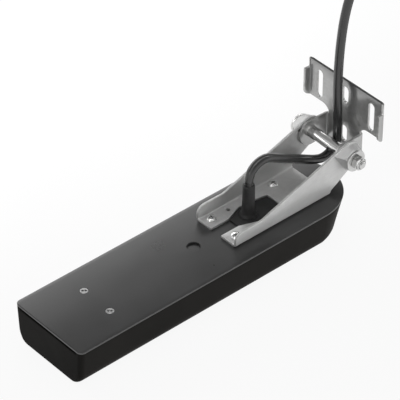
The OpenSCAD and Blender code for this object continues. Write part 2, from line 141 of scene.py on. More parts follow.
def on_circle(angle: Array) -> Array:
    """Cosines and sines of angles, in pairs."""
    return np.stack([np.cos(angle), np.sin(angle)], -1)


def run_length(points: Array) -> Array:
    """Distance run along a row of points."""
    return np.concatenate([[0.0], np.cumsum(np.linalg.norm(np.diff(points, axis=0), axis=1))])


def net(a: Array, b: Array) -> Array:
    """Every pair of two rows of numbers, as points."""
    return np.stack(np.meshgrid(a, b), -1).reshape(-1, 2)


def fold_length(radius: float) -> float:
    """Developed length of a square fold of an inner radius, along the sheet's middle."""
    return (radius + DATUM.sheet_t / 2.0) * QUARTER


def surface(points: Array, wrap_u: bool = False, wrap_v: bool = False, edge: Array | None = None,
            uv: Array | None = None) -> Patch:
    """Surface over a grid of points, one quad per cell.

    Args:
        points: Grid of places, rows by columns by three.
        wrap_u: Whether the last row joins the first.
        wrap_v: Whether the last column joins the first.
        edge: Mark per grid point, for rubbed wear, painted edge highlights and painted shade.
        uv: Flat map per grid point.

    Returns:
        The patch.
    """
    rows, cols = points.shape[:2]
    number = np.arange(rows * cols).reshape(rows, cols)
    if wrap_u:
        number = np.vstack([number, number[:1]])
    if wrap_v:
        number = np.hstack([number, number[:, :1]])
    corners = [number[:-1, :-1], number[1:, :-1], number[1:, 1:], number[:-1, 1:]]
    mark = np.broadcast_to(0.0 if edge is None else edge, (rows, cols)).reshape(-1).astype(float)
    flat = points[..., :2] if uv is None else uv
    quads = np.stack(corners, -1).reshape(-1, 4)
    return Patch(points.reshape(-1, 3), quads, NO_TRIS, mark, flat.reshape(-1, 2))


def join(patches: Sequence[Patch]) -> Patch:
    """One patch of several, with their point numbers carried on."""
    start = np.cumsum([0] + [len(p.points) for p in patches[:-1]])
    return Patch(np.vstack([p.points for p in patches]),
                 np.vstack([p.quads + s for p, s in zip(patches, start)]),
                 np.vstack([p.tris + s for p, s in zip(patches, start)]),
                 np.concatenate([p.edge for p in patches]), np.vstack([p.uv for p in patches]))


def welded(patch: Patch) -> Patch:
    """Same patch with points that share a cell of 0.002 mm made one, and collapsed faces dropped."""
    keys = np.round(patch.points * 500.0).astype(np.int64)
    _, first, back = np.unique(keys, axis=0, return_index=True, return_inverse=True)
    back = back.reshape(-1)
    quads, tris = back[patch.quads], back[patch.tris]
    same = quads == np.roll(quads, -1, axis=1)
    worn = quads[same.sum(1) == 1]
    if len(worn):
        at = np.argmax(worn == np.roll(worn, -1, axis=1), axis=1)
        tris = np.vstack([tris, np.take_along_axis(worn, (at[:, None] + np.array([1, 2, 3])) % 4, axis=1)])
    tris = tris[(tris[:, 0] != tris[:, 1]) & (tris[:, 1] != tris[:, 2]) & (tris[:, 0] != tris[:, 2])]
    quads = quads[~same.any(1)]
    quads = quads[(quads[:, 0] != quads[:, 2]) & (quads[:, 1] != quads[:, 3])]
    return Patch(patch.points[first], quads, tris, patch.edge[first], patch.uv[first])


def revolve(profile: Array, origin: Sequence[float], axis: Axis, count: int = 64,
            shape: Callable[[Array, Array, Array], Array] | None = None, edge: Array | None = None,
            closed: bool = False) -> Patch:
    """Turned surface: each profile point (radius, along) is carried round the axis.

    Args:
        profile: Rows of radius and distance along the axis.
        origin: Point on the axis where the distance is zero.
        axis: Direction of the axis.
        count: Points round.
        shape: Gives a new radius from angle, distance along and radius, for hexagons, ribs and threads.
        edge: Mark per profile point, for rubbed wear and painted edge highlights.
        closed: Whether the profile's last point joins its first.

    Returns:
        The patch.
    """
    along, side, other = np.array(axis.value, float)
    turn = circle(count)
    radius, place = np.broadcast_to(profile[:, 0], (count, len(profile))), profile[None, :, 1]
    radius = radius if shape is None else shape(turn, np.broadcast_to(place, radius.shape), radius)
    points = np.asarray(origin, float) + place[..., None] * along + radius[..., None] * (
        np.cos(turn)[..., None] * side + np.sin(turn)[..., None] * other)
    uv = np.stack(np.broadcast_arrays(turn * profile[:, 0].max(), run_length(profile)[None]), -1)
    return surface(points, wrap_u=True, wrap_v=closed, edge=edge, uv=uv)


def soften(corners: Sequence[Sequence[float]], radii: Sequence[float], steps: int = 5) -> tuple[Array, Array]:
    """Open profile with its inner corners replaced by arcs.

    Each corner takes the arc of its radius that touches both neighbouring lines.

    Args:
        corners: Corner points of the profile.
        radii: Radius per point; the two ends are left.
        steps: Points on each arc.

    Returns:
        The new profile, and its marks for rubbed wear and painted edge highlights, which are one on the arcs.
    """
    profile = np.asarray(corners, float)
    rows, marks = [profile[:1]], [np.zeros(1)]
    for p, q, r, rad in zip(profile[:-2], profile[1:-1], profile[2:], radii[1:-1]):
        arc = corner_arc(p, q, r, rad, steps)
        rows.append(arc)
        marks.append(np.ones(len(arc)) if rad > 0 else np.zeros(1))
    return np.vstack(rows + [profile[-1:]]), np.concatenate(marks + [np.zeros(1)])


def turned(corners: Sequence[Sequence[float]], radii: Sequence[float], origin: Sequence[float], axis: Axis,
           count: int, steps: int = 5, closed: bool = False, worn: float = 1.0) -> Patch:
    """Turned piece whose profile has soft corners.

    Args:
        corners: Corner points of the profile, as radius and distance along.
        radii: Radius per corner.
        origin: Point on the axis.
        axis: Direction of the axis.
        count: Points round.
        steps: Points on each corner's arc.
        closed: Whether the profile closes on itself.
        worn: Mark of the corners, for rubbed wear and painted edge highlights.

    Returns:
        The patch.
    """
    profile, mark = soften(corners, radii, steps)
    return revolve(profile, origin, axis, count, None, worn * mark, closed)


def corner_arc(p: Array, q: Array, r: Array, rad: float, steps: int) -> Array:
    """Points of the arc of one radius that touches the lines q-p and q-r; just q where the radius is nil."""
    u, v = unit(p - q), unit(r - q)
    half = math.acos(float(np.clip(u @ v, -1.0, 1.0))) / 2.0
    if rad <= 0 or half > QUARTER - 1e-3:
        return q[None]
    middle = q + unit(u + v) * rad / math.sin(half)
    a, b = q + u * rad / math.tan(half) - middle, q + v * rad / math.tan(half) - middle
    start = math.atan2(a[1], a[0])
    turn = (math.atan2(b[1], b[0]) - start + math.pi) % FULL - math.pi
    return middle + rad * on_circle(start + turn * np.linspace(0.0, 1.0, steps))


def arc_points(centre: Sequence[float], radius: float, start: float, stop: float, count: int) -> Array:
    """Points of an arc between two angles in degrees."""
    return np.asarray(centre, float) + radius * on_circle(np.radians(np.linspace(start, stop, count)))


def hole_loop(centre: Sequence[float], radius: float, count: int) -> Array:
    """Points of a round hole."""
    return arc_points(centre, radius, 0.0, 360.0 - 360.0 / count, count)


def round_loop(corners: Sequence[Sequence[float]], radii: Sequence[float], steps: int = 9) -> Array:
    """Closed outline whose corners are arcs."""
    pts = np.asarray(corners, float)
    n = len(pts)
    return np.vstack([corner_arc(pts[i - 1], pts[i], pts[(i + 1) % n], radii[i], steps) for i in range(n)])


def slot_loop(centre: Sequence[float], width: float, length: float, count: int = 13) -> Array:
    """Upright slot with round ends."""
    x, y = centre
    reach = (length - width) / 2.0
    return np.vstack([arc_points((x, y + reach), width / 2.0, 0, 180, count),
                      arc_points((x, y - reach), width / 2.0, 180, 360, count)])


def densify(loop: Array, step: float) -> Array:
    """Closed outline with every side cut into pieces no longer than step."""
    ahead = np.roll(loop, -1, axis=0) - loop
    count = np.maximum(1, np.ceil(np.linalg.norm(ahead, axis=1) / step).astype(int))
    row = np.repeat(np.arange(len(loop)), count)
    part = (np.arange(count.sum()) - np.repeat(np.cumsum(count) - count, count)) / np.repeat(count, count)
    return loop[row] + ahead[row] * part[:, None]


def signed_area(loop: Array) -> float:
    """Area of an outline, positive where it runs anticlockwise."""
    nxt = np.roll(loop, -1, axis=0)
    return float(np.sum(loop[:, 0] * nxt[:, 1] - nxt[:, 0] * loop[:, 1]) / 2.0)


def to_left(loop: Array) -> Array:
    """Mitred directions to the left of an outline, as long as one unit of offset needs."""
    ahead = unit(np.roll(loop, -1, axis=0) - loop)
    tangent = unit(ahead + np.roll(ahead, 1, axis=0))
    stretch = 1.0 / np.maximum(np.sum(tangent * ahead, axis=1, keepdims=True), 0.5)
    return np.stack([-tangent[:, 1], tangent[:, 0]], -1) * stretch


def inside(points: Array, loops: Sequence[Array]) -> NDArray[np.bool_]:
    """Whether points lie in the outlines by the even-odd rule, from crossings of a ray along +X."""
    hit = np.zeros(len(points), int)
    px, py = points[:, None, 0], points[:, None, 1]
    for loop in loops:
        (ax, ay), (bx, by) = loop.T[:, None], np.roll(loop, -1, axis=0).T[:, None]
        rise = np.where(np.abs(by - ay) < 1e-12, 1e-12, by - ay)
        hit += np.sum(((ay > py) != (by > py)) & (px < (bx - ax) * (py - ay) / rise + ax), 1)
    return hit % 2 == 1


def fill(loops: Sequence[Array], extra: Array) -> tuple[Array, Index]:
    """Triangles that fill outlines, with holes by the even-odd rule.

    Args:
        loops: Closed outlines.
        extra: Further points inside, which carry bends and pressed forms.

    Returns:
        Points and triangles of a constrained Delaunay net.
    """
    clear = 0.22
    start = np.cumsum([0] + [len(p) for p in loops[:-1]])
    sides = np.vstack([np.stack([np.arange(len(p)), np.roll(np.arange(len(p)), -1)], -1) + s
                       for p, s in zip(loops, start)])
    if len(extra):
        near = np.min(np.linalg.norm(extra[:, None] - np.vstack(loops)[None], axis=2), axis=1)
        extra = extra[inside(extra, loops) & (near > clear)]
    every = np.vstack(list(loops) + [extra])
    places, _, faces, origin, _, _ = delaunay_2d_cdt([p.tolist() for p in every], sides.tolist(), [], 1, 1e-6)
    points = np.array([every[o[0]] if o else p[:] for p, o in zip(places, origin)], float)
    tris = np.array([f for f in faces if len(f) == 3], np.int64)
    return points, tris[inside(points[tris].mean(1), loops)]


@dataclass
class FoldedSheet:
    """A flat pattern with holes and round edges, which a mapping folds into place.

    The edge of every outline is a quarter round from each face: inset b(1 - sin a) at height
    t/2 - b(1 - cos a).
    """

    outline: Array
    holes: list[Array]
    extra: Array
    thickness: float
    bevel: float
    fold: Callable[[Array, Array], Array]

    def patch(self) -> Patch:
        """The folded sheet as a closed patch."""
        loops = [self.outline if signed_area(self.outline) > 0 else self.outline[::-1]]
        loops += [h if signed_area(h) < 0 else h[::-1] for h in self.holes]
        half, b = self.thickness / 2.0, self.bevel
        turn = np.linspace(0.0, QUARTER, 4)
        inset, lift = b * (1 - np.sin(turn)), half - b * (1 - np.cos(turn))
        inset, lift = np.concatenate([inset, inset[::-1]]), np.concatenate([lift, -lift[::-1]])
        # Marks round the bevelled edge: rubbed wear and painted edge highlights.
        worn = np.array([0.35, 1, 1, 0.8, 0.8, 1, 1, 0.35])
        parts: list[Patch] = []
        for loop in loops:
            grid = loop[:, None] + to_left(loop)[:, None] * inset[None, :, None]
            solid = self.fold(grid.reshape(-1, 2), np.tile(lift, len(loop))).reshape(*grid.shape[:2], 3)
            parts.append(surface(solid, wrap_u=True, edge=worn[None], uv=grid))
        flat, tris = fill([loop + to_left(loop) * b for loop in loops], self.extra)
        for level, order in ((half, [0, 1, 2]), (-half, [2, 1, 0])):
            face = self.fold(flat, np.full(len(flat), level))
            parts.append(Patch(face, NO_QUADS, tris[:, order], np.zeros(len(flat)), flat))
        return join(parts)


# Pieces


def link(name: str, data: Any) -> bpy.types.Object:
    """New object in the scene."""
    made = bpy.data.objects.new(name, data)
    bpy.context.scene.collection.objects.link(made)
    return made


def make_object(name: str, patch: Patch, material: bpy.types.Material, body: Body, nodes: Sequence[str] = (),
                sharp: float = 32.0) -> bpy.types.Object:
    """Writes a patch as a mesh object that rides on a body.

    Args:
        name: Name of the piece.
        patch: Its surface.
        material: Its finish.
        body: The body that it moves with.
        nodes: Solids that it stands for.
        sharp: Angle in degrees past which an edge shades sharp.

    Returns:
        The object.
    """
    whole = welded(patch)
    mesh = bpy.data.meshes.new(name)
    mesh.from_pydata((whole.points * MM).tolist(), [], whole.quads.tolist() + whole.tris.tolist())
    mark = mesh.attributes.new("edge", "FLOAT", "POINT")
    mark.data.foreach_set("value", whole.edge.astype(np.float32))
    corner = np.zeros(len(mesh.loops), np.int32)
    mesh.loops.foreach_get("vertex_index", corner)
    mesh.uv_layers.new(name="flat").data.foreach_set("uv", (whole.uv[corner] * MM).astype(np.float32).ravel())
    bm = bmesh.new()
    bm.from_mesh(mesh)
    bmesh.ops.recalc_face_normals(bm, faces=bm.faces)
    bm.to_mesh(mesh)
    bm.free()
    mesh.polygons.foreach_set("use_smooth", np.ones(len(mesh.polygons), bool))
    mesh.set_sharp_from_angle(angle=math.radians(sharp))
    mesh.materials.append(material)
    mesh.update()
    piece = link(name, mesh)
    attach(piece, body.value)
    if nodes:
        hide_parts(*nodes)
    LOG.info("%s: %d points on %s", name, len(whole.points), body.value)
    return piece


# Finishes


class Graph:
    """A node tree with short calls for adding and joining nodes."""

    def __init__(self, tree: bpy.types.NodeTree) -> None:
        """Keeps the tree."""
        self.tree = tree

    def put(self, target: bpy.types.NodeSocket, value: Any) -> None:
        """Joins an output socket to an input, or sets the input's value."""
        if isinstance(value, bpy.types.NodeSocket):
            self.tree.links.new(value, target)
        else:
            target.default_value = value

    def find(self, kind: str) -> bpy.types.Node:
        """The tree's first node of a type."""
        return next(n for n in self.tree.nodes if n.type == kind)

    def add(self, kind: str, inputs: dict[Any, Any] | None = None, **settings: Any) -> bpy.types.Node:
        """New node.

        Args:
            kind: Node type name.
            inputs: Socket names or numbers with a value, or with an output socket to join.
            settings: Node properties.

        Returns:
            The node.
        """
        made = self.tree.nodes.new(kind)
        for key, value in settings.items():
            setattr(made, key, value)
        for key, value in (inputs or {}).items():
            self.put(made.inputs[key], value)
        return made

    def math(self, operation: str, a: Any, b: Any = 0.0, clamp: bool = False) -> bpy.types.NodeSocket:
        """Result of a sum on two values or sockets."""
        return self.add("ShaderNodeMath", {0: a, 1: b}, operation=operation, use_clamp=clamp).outputs[0]

    def mix(self, share: Any, a: Any, b: Any) -> bpy.types.NodeSocket:
        """Colour between two colours or sockets."""
        return self.add("ShaderNodeMix", {0: share, 6: a, 7: b}, data_type="RGBA").outputs[2]

    def noise(self, place: Any, scale: Any, detail: float, **more: float) -> bpy.types.NodeSocket:
        """Value of a noise texture."""
        inputs = {"Vector": place, "Scale": scale, "Detail": detail, **more}
        return self.add("ShaderNodeTexNoise", inputs).outputs[0]

    def effect(self, tree: bpy.types.NodeTree, **inputs: Any) -> bpy.types.NodeSocket:
        """Result of a shared group with its inputs set or joined."""
        return self.add("ShaderNodeGroup", inputs, node_tree=tree).outputs[0]

    def ranged(self, value: Any, low: float, high: float, to_low: Any, to_high: Any) -> bpy.types.NodeSocket:
        """Value moved from one range to another, held at the ends."""
        return self.add("ShaderNodeMapRange", {"Value": value, "From Min": low, "From Max": high,
                                               "To Min": to_low, "To Max": to_high}).outputs["Result"]


VECTOR, COLOUR = "NodeSocketVector", "NodeSocketColor"
SOCKETS = {"Vector": VECTOR, "Stretch": VECTOR, "Dark": COLOUR, "Light": COLOUR, "Color": COLOUR}
Inside = Callable[[Graph, dict[str, Any]], bpy.types.NodeSocket]


def group(name: str, inputs: dict[str, Any], output: str, fill_in: Inside) -> bpy.types.NodeTree:
    """Shader node group with one result.

    Args:
        name: Name of the group.
        inputs: Name and default of each input.
        output: Name of the result.
        fill_in: Builds the group's nodes from the input sockets, and gives the socket of the result.

    Returns:
        The group's tree.
    """
    tree = bpy.data.node_groups.new(name, "ShaderNodeTree")
    for label, value in inputs.items():
        kind = SOCKETS.get(label, "NodeSocketFloat")
        made = tree.interface.new_socket(label, in_out="INPUT", socket_type=kind)
        if value is not None:
            made.default_value = value
    tree.interface.new_socket(output, in_out="OUTPUT", socket_type=SOCKETS.get(output, "NodeSocketFloat"))
    start, end = tree.nodes.new("NodeGroupInput"), tree.nodes.new("NodeGroupOutput")
    result = fill_in(Graph(tree), {label: start.outputs[label] for label in inputs})
    tree.links.new(result, end.inputs[output])
    return tree


class Effects:
    """Shader groups that several finishes share."""

    def __init__(self) -> None:
        """Builds every group once."""
        at = {"Vector": None}
        self.grain = group("moulded_grain", {**at, "Scale": 900.0}, "Height", self._grain)
        self.tone = group("tone_drift", {**at, "Scale": 20.0, "Dark": None, "Light": None}, "Color",
                          self._tone)
        self.rub_and_highlight = group("edge_rub_and_highlight", {**at, "Edge": 0.0, "Scale": 250.0, "Amount": 0.5}, "Mask", self._rub_and_highlight)
        self.lines = group("drawn_lines", {**at, "Stretch": (1.0, 1.0, 1.0)}, "Height", self._lines)
        self.haze = group("handling_haze", {**at, "Scale": 30.0, "Low": 0.3, "High": 0.5}, "Roughness",
                          self._haze)

    @staticmethod
    def _grain(g: Graph, s: dict[str, Any]) -> bpy.types.NodeSocket:
        """Spark-eroded grain: fine noise with rounded cells over it."""
        noise = g.noise(s["Vector"], s["Scale"], 3.0)
        cells = g.add("ShaderNodeTexVoronoi", {"Vector": s["Vector"], "Scale": s["Scale"]})
        return g.math("ADD", noise, g.math("MULTIPLY", cells.outputs["Distance"], 0.6))

    @staticmethod
    def _tone(g: Graph, s: dict[str, Any]) -> bpy.types.NodeSocket:
        """Slow change between two colours."""
        noise = g.noise(s["Vector"], s["Scale"], 4.0)
        return g.mix(g.ranged(noise, 0.3, 0.7, 0.0, 1.0), s["Dark"], s["Light"])

    @staticmethod
    def _rub_and_highlight(g: Graph, s: dict[str, Any]) -> bpy.types.NodeSocket:
        """Broken mask along the edges, for rubbed wear and painted edge highlights."""
        noise = g.noise(s["Vector"], s["Scale"], 5.0)
        worn = g.math("MULTIPLY", s["Edge"], g.ranged(noise, 0.35, 0.62, 0.25, 1.0))
        return g.math("MULTIPLY", worn, s["Amount"], clamp=True)

    @staticmethod
    def _lines(g: Graph, s: dict[str, Any]) -> bpy.types.NodeSocket:
        """Fine lines: noise drawn out along one direction."""
        drawn = g.add("ShaderNodeVectorMath", {0: s["Vector"], 1: s["Stretch"]}, operation="MULTIPLY")
        return g.noise(drawn.outputs[0], 1.0, 4.0, Roughness=0.6)

    @staticmethod
    def _haze(g: Graph, s: dict[str, Any]) -> bpy.types.NodeSocket:
        """Uneven gloss from handling and water marks."""
        noise = g.noise(s["Vector"], s["Scale"], 5.0, Distortion=0.4)
        return g.ranged(noise, 0.3, 0.7, s["Low"], s["High"])


def grey(level: float) -> Triple:
    """Colour of three equal parts."""
    return (level, level, level)


@dataclass(frozen=True)
class Finish:
    """One finish: colours, gloss, relief, wear and painted light. Positive marks paint rubbed wear and edge
    highlights; negative ones mix in the shade colour, which paints shade in the screws' recesses and a dark
    reflection on the plate's top edge, and gives the cover's wall the housing's tone.
    """

    name: str
    dark: Triple
    light: Triple
    rub_and_highlight: Triple
    rub_and_highlight_amount: float = 0.5
    rough: tuple[float, float] = (0.35, 0.5)
    tone_scale: float = 25.0
    grain_scale: float = 900.0
    grain_depth: float = 0.00002
    grain_strength: float = 0.2
    lines: Triple | None = None
    metallic: float = 0.0
    specular: float = 0.5
    sheen: float = 0.0
    # Colour and share that negative marks mix in: painted shade and dark reflection, and on the cover the
    # housing's tone.
    painted_shade_and_tone: Triple = (0.05, 0.05, 0.05)
    painted_shade_and_tone_amount: float = 0.95
    line_amount: float = 0.35

    def build(self, effects: Effects) -> bpy.types.Material:
        """Material of this finish.

        Args:
            effects: The shared groups.

        Returns:
            The material.
        """
        material = bpy.data.materials.new(self.name)
        material.use_nodes = True
        g = Graph(material.node_tree)
        dark, light, rub_and_highlight_colour, painted_shade_and_tone = ((*c, 1.0) for c in (self.dark, self.light, self.rub_and_highlight, self.painted_shade_and_tone))
        place = g.add("ShaderNodeTexCoord").outputs["Object"]
        edge = g.add("ShaderNodeAttribute", attribute_name="edge").outputs["Fac"]
        tone = g.effect(effects.tone, Vector=place, Scale=self.tone_scale, Dark=dark, Light=light)
        rub_and_highlight = g.effect(effects.rub_and_highlight, Vector=place, Edge=edge, Amount=self.rub_and_highlight_amount)
        haze = g.effect(effects.haze, Vector=place, Low=self.rough[0], High=self.rough[1])
        # Rubbed wear and painted edge highlights on marked edges.
        base = g.mix(rub_and_highlight, tone, rub_and_highlight_colour)
        if self.lines is None:
            relief = g.effect(effects.grain, Vector=place, Scale=self.grain_scale)
        else:
            relief = g.effect(effects.lines, Vector=place, Stretch=self.lines)
            base = g.mix(g.ranged(relief, 0.35, 0.65, 0.0, self.line_amount), base, dark)
        bump = g.add("ShaderNodeBump", {"Height": relief, "Strength": self.grain_strength,
                                        "Distance": self.grain_depth})
        # Painted shade and dark reflection where marks are negative; on the cover, the housing's tone.
        base = g.mix(g.math("MULTIPLY", edge, -self.painted_shade_and_tone_amount, clamp=True), base, painted_shade_and_tone)
        shader = g.find("BSDF_PRINCIPLED")
        for socket, value in (("Base Color", base), ("Roughness", haze), ("Normal", bump.outputs["Normal"]),
                              ("Metallic", self.metallic), ("Specular IOR Level", self.specular),
                              ("Sheen Weight", self.sheen)):
            g.put(shader.inputs[socket], value)
        material.diffuse_color = light
        return material


class Palette:
    """Every finish of the transducer, built once."""

    # Rub colours paint rubbed wear and edge highlights; shade colours paint shade in recesses and dark
    # reflections.
    HOUSING = Finish("moulded_black", (0.0168, 0.0161, 0.0150), (0.0226, 0.0215, 0.0201), (0.05, 0.05, 0.049),
                     0.5, (0.42, 0.52), 18.0, 1400.0, 0.00003, 0.10, specular=0.02)
    # The cover's bright rub colour is a painted highlight along its top edge; its shade colour is the
    # housing's tone for the wall.
    COVER = Finish("moulded_charcoal", grey(0.014), grey(0.018), grey(0.14), 0.85, (0.27, 0.33), 14.0, 1500.0,
                   0.00003, 0.14, specular=1.0, painted_shade_and_tone=(0.014, 0.0136, 0.013))
    RUBBER = Finish("boot_rubber", grey(0.026), grey(0.036), grey(0.06), 0.4, (0.45, 0.58), 60.0, 1200.0,
                    0.00003, 0.15, specular=0.25)
    JACKET = Finish("cable_jacket", grey(0.021), grey(0.029), grey(0.04), 0.2, (0.18, 0.26), 45.0, 700.0,
                    0.00004, 0.08, specular=0.75)
    SHEET = Finish("satin_stainless", (0.56, 0.56, 0.555), (0.64, 0.64, 0.635), (0.92, 0.92, 0.91), 0.8,
                   (0.30, 0.42), 30.0, lines=(40.0, 900.0, 900.0), grain_strength=0.10, metallic=0.25)
    PLATE = Finish("satin_stainless_plate", (0.42, 0.42, 0.415), (0.50, 0.50, 0.495), (0.85, 0.85, 0.84), 0.7,
                   (0.16, 0.26), 30.0, lines=(900.0, 40.0, 900.0), grain_strength=0.08, metallic=0.5)
    HARDWARE = Finish("bright_stainless", (0.80, 0.80, 0.795), (0.90, 0.90, 0.89), (0.95, 0.95, 0.94), 0.6,
                      (0.10, 0.18), 70.0, lines=(300.0, 900.0, 300.0), grain_depth=0.00001,
                      grain_strength=0.08, metallic=1.0)
    DULL = replace(HARDWARE, name="dull_stainless", dark=(0.52, 0.52, 0.515), light=(0.62, 0.62, 0.61),
                   rub_and_highlight=(0.80, 0.80, 0.79), rough=(0.24, 0.34))
    PIN = Finish("dull_pin", grey(0.40), (0.48, 0.48, 0.475), grey(0.60), 0.5, (0.35, 0.45), 90.0, 1500.0,
                 0.00002, 0.10, metallic=0.6)
    STRAP = Finish("woven_strap", (0.010, 0.010, 0.011), (0.022, 0.022, 0.024), grey(0.05), 0.3, (0.7, 0.9),
                   300.0, 2500.0, 0.0002, 0.6, specular=0.2, sheen=0.3)
    PLUG = Finish("plug_plastic", grey(0.010), grey(0.017), grey(0.05), 0.5, (0.34, 0.48), 50.0, 1600.0,
                  0.00003, 0.16, specular=0.4)
    CONTACT = Finish("contact_brass", (0.62, 0.47, 0.20), (0.74, 0.58, 0.28), (0.85, 0.72, 0.42), 0.5,
                     (0.2, 0.3), 80.0, lines=(900.0, 900.0, 300.0), grain_depth=0.00001, grain_strength=0.05,
                     metallic=1.0)

    def __init__(self) -> None:
        """Builds the groups and the materials."""
        shared = Effects()
        large = (self.HOUSING, self.COVER, self.RUBBER, self.JACKET, self.SHEET, self.PLATE)
        small = (self.HARDWARE, self.DULL, self.PIN, self.STRAP, self.PLUG, self.CONTACT)
        self.housing, self.cover, self.rubber, self.jacket, self.sheet, self.plate = (
            finish.build(shared) for finish in large)
        self.hardware, self.dull, self.pin, self.strap, self.plug, self.contact = (
            finish.build(shared) for finish in small)


# Sub-assemblies


@dataclass
class Cable:
    """The cable with its wound coil, tie and connector.

    The route repeats the points of the solids. The lead and the tail follow a Catmull-Rom curve through them;
    the hank between them is wound in oval turns, column by column and row by row.
    """

    lead: tuple[Triple, ...] = (
        (46, 0, 62.5), (46, 0, 64.5), (46, 0, 66.5), (48, 0, 72.5), (52, 0, 76.5), (58, 0, 78.5),
        (65, 0, 77.5), (75, 0, 72), (85, 0, 66.5), (95, 0, 61), (105, 0, 55.5), (113, 0, 51.5),
        (120, 0, 49.5), (127, 0, 51), (132.5, 0, 56), (134.5, 0, 63), (134.3, 0, 77), (133.6, 0, 92),
        (133.1, 0, 112), (133.5, 0, 132), (134.8, 0, 150), (137, -0.3, 168), (140.5, -1.5, 186),
        (146, -4, 203), (156, -8, 215), (168, -13, 220), (181, -19, 215), (190.5, -24, 204),
        (195, -26, 189), (195, -26, 170), (195, -26, 145), (195, -26, 120), (195, -26, 95), (195, -26, 70),
        (195, -26, 50), (195, -26, 34), (197, -26.5, 20), (204, -28.5, 9.5), (215, -31.5, 5), (228, -34, 5),
        (240, -35.3, 5), (252, -35.5, 5), (264.5, -35.5, 5))
    tail: tuple[Triple, ...] = (
        (331.5, -35.5, 40), (342, -35.5, 40), (352, -35.5, 38.5), (361, -35.2, 33), (369, -33.5, 25),
        (377, -31.5, 17), (386, -30.2, 12), (394, -30, 10.2), (400, -30, 10), (404, -30, 10), (408, -30, 10))
    diameter: float = 7.0
    length_m: float = 6.0
    coil_x: float = 298.0
    coil_half: float = 33.5
    coil_outer: float = 35.5
    coil_low: float = 5.0
    coil_rows: int = 6
    coil_columns: int = 3
    tie_w: float = 14.0
    tie_t: float = 1.4
    plug_r: float = 7.5
    boot_l: float = 22.0
    plug_l: float = 20.0
    collar_r: float = 9.5
    collar_l: float = 17.0
    collar_lap: float = 6.8
    collar_wall: float = 1.8
    insert_r: float = 6.0
    insert_l: float = 12.0
    contact_ring: float = 3.3

    def curve(self, route: Sequence[Sequence[float]], steps: int) -> Array:
        """Points of the Catmull-Rom curve through a route, without its last point."""
        p = np.asarray(route, float)
        ends = np.vstack([p[:1], p, p[-1:]])
        a, b, c, d = (ends[k:len(p) - 1 + k][:, None] for k in range(4))
        u = (np.arange(steps) / steps)[None, :, None]
        return (0.5 * (2 * b + (c - a) * u + (2 * a - 5 * b + 4 * c - d) * u ** 2
                       + (3 * b - a - 3 * c + d) * u ** 3)).reshape(-1, 3)

    def coil(self) -> Array:
        """Points of the hank: 18 oval turns in three columns and six rows.

        A turn runs forward on the starboard leg, round the front end, aft on the port leg and round the aft
        end. On the port leg it steps to the next column in the first half, or climbs to the next row in the
        second.
        """
        number = np.arange(self.coil_rows * self.coil_columns)
        row, step = number // self.coil_columns, number % self.coil_columns
        column = np.where(row % 2 == 0, step, self.coil_columns - 1 - step)
        radius, height = self.coil_outer - self.diameter * column, self.coil_low + self.diameter * row
        r, s, z, w = (v[:, None] for v in (radius[:-1], radius[1:], height[:-1], height[1:]))
        leg, back = np.linspace(-1, 1, 8, endpoint=False)[None], np.linspace(0, 1, 20, endpoint=False)[None]
        turn = np.linspace(-QUARTER, QUARTER, 22, endpoint=False)[None]
        one, h = np.ones_like(r), self.coil_half
        x = [h * leg * one, h + r * np.cos(turn), h * (1 - 2 * back) * one, -h - s * np.cos(turn)]
        y = [-r + 0 * leg, r * np.sin(turn), r + (s - r) * smooth(2 * back), -s * np.sin(turn)]
        up = [z + 0 * leg, z + 0 * turn, z + (w - z) * smooth(2 * back - 1), w + 0 * turn]
        rounds = np.stack([np.concatenate(v, 1) for v in (x, y, up)], -1).reshape(-1, 3)
        last = np.stack([h * leg[0], np.full(8, -radius[-1]), np.full(8, height[-1])], -1)
        return np.vstack([rounds, last]) + np.array([self.coil_x, 0.0, 0.0])

    def path(self) -> tuple[Array, int]:
        """The whole centreline, and how many of its points belong to the lead."""
        lead = self.curve(self.lead, 6)
        return np.vstack([lead, self.coil(), self.curve(self.tail, 6), self.tail[-1:]]), len(lead)

    def tube(self, path: Array, split: int, sides: int = 14) -> Patch:
        """Round tube along the path.

        Rings stand square to the path. Their first direction is the tangent crossed with Y on the lead, and
        upright on the coil, where the two agree at the floor.

        Args:
            path: The centreline.
            split: How many of its points belong to the lead.
            sides: Points round.

        Returns:
            The patch.
        """
        tangent = unit(np.gradient(path, axis=0))
        upright = np.array([0.0, 0.0, 1.0]) - tangent * tangent[:, 2:3]
        crossed = np.stack([-tangent[:, 2], np.zeros(len(path)), tangent[:, 0]], -1)
        first = unit(np.where((np.arange(len(path)) < split)[:, None], crossed, upright))
        second = np.cross(tangent, first)
        turn, radius = circle(sides)[None], self.diameter / 2.0
        ring = path[:, None] + radius * (np.cos(turn) * first[:, None] + np.sin(turn) * second[:, None])
        uv = np.stack(np.broadcast_arrays(turn[..., 0] * radius, run_length(path)[:, None]), -1)
        caps = [np.repeat(path[[k]], sides, axis=0)[None] for k in (0, -1)]
        return surface(np.vstack([caps[0], ring, caps[1]]), wrap_v=True, uv=np.vstack([uv[:1], uv, uv[-1:]]))

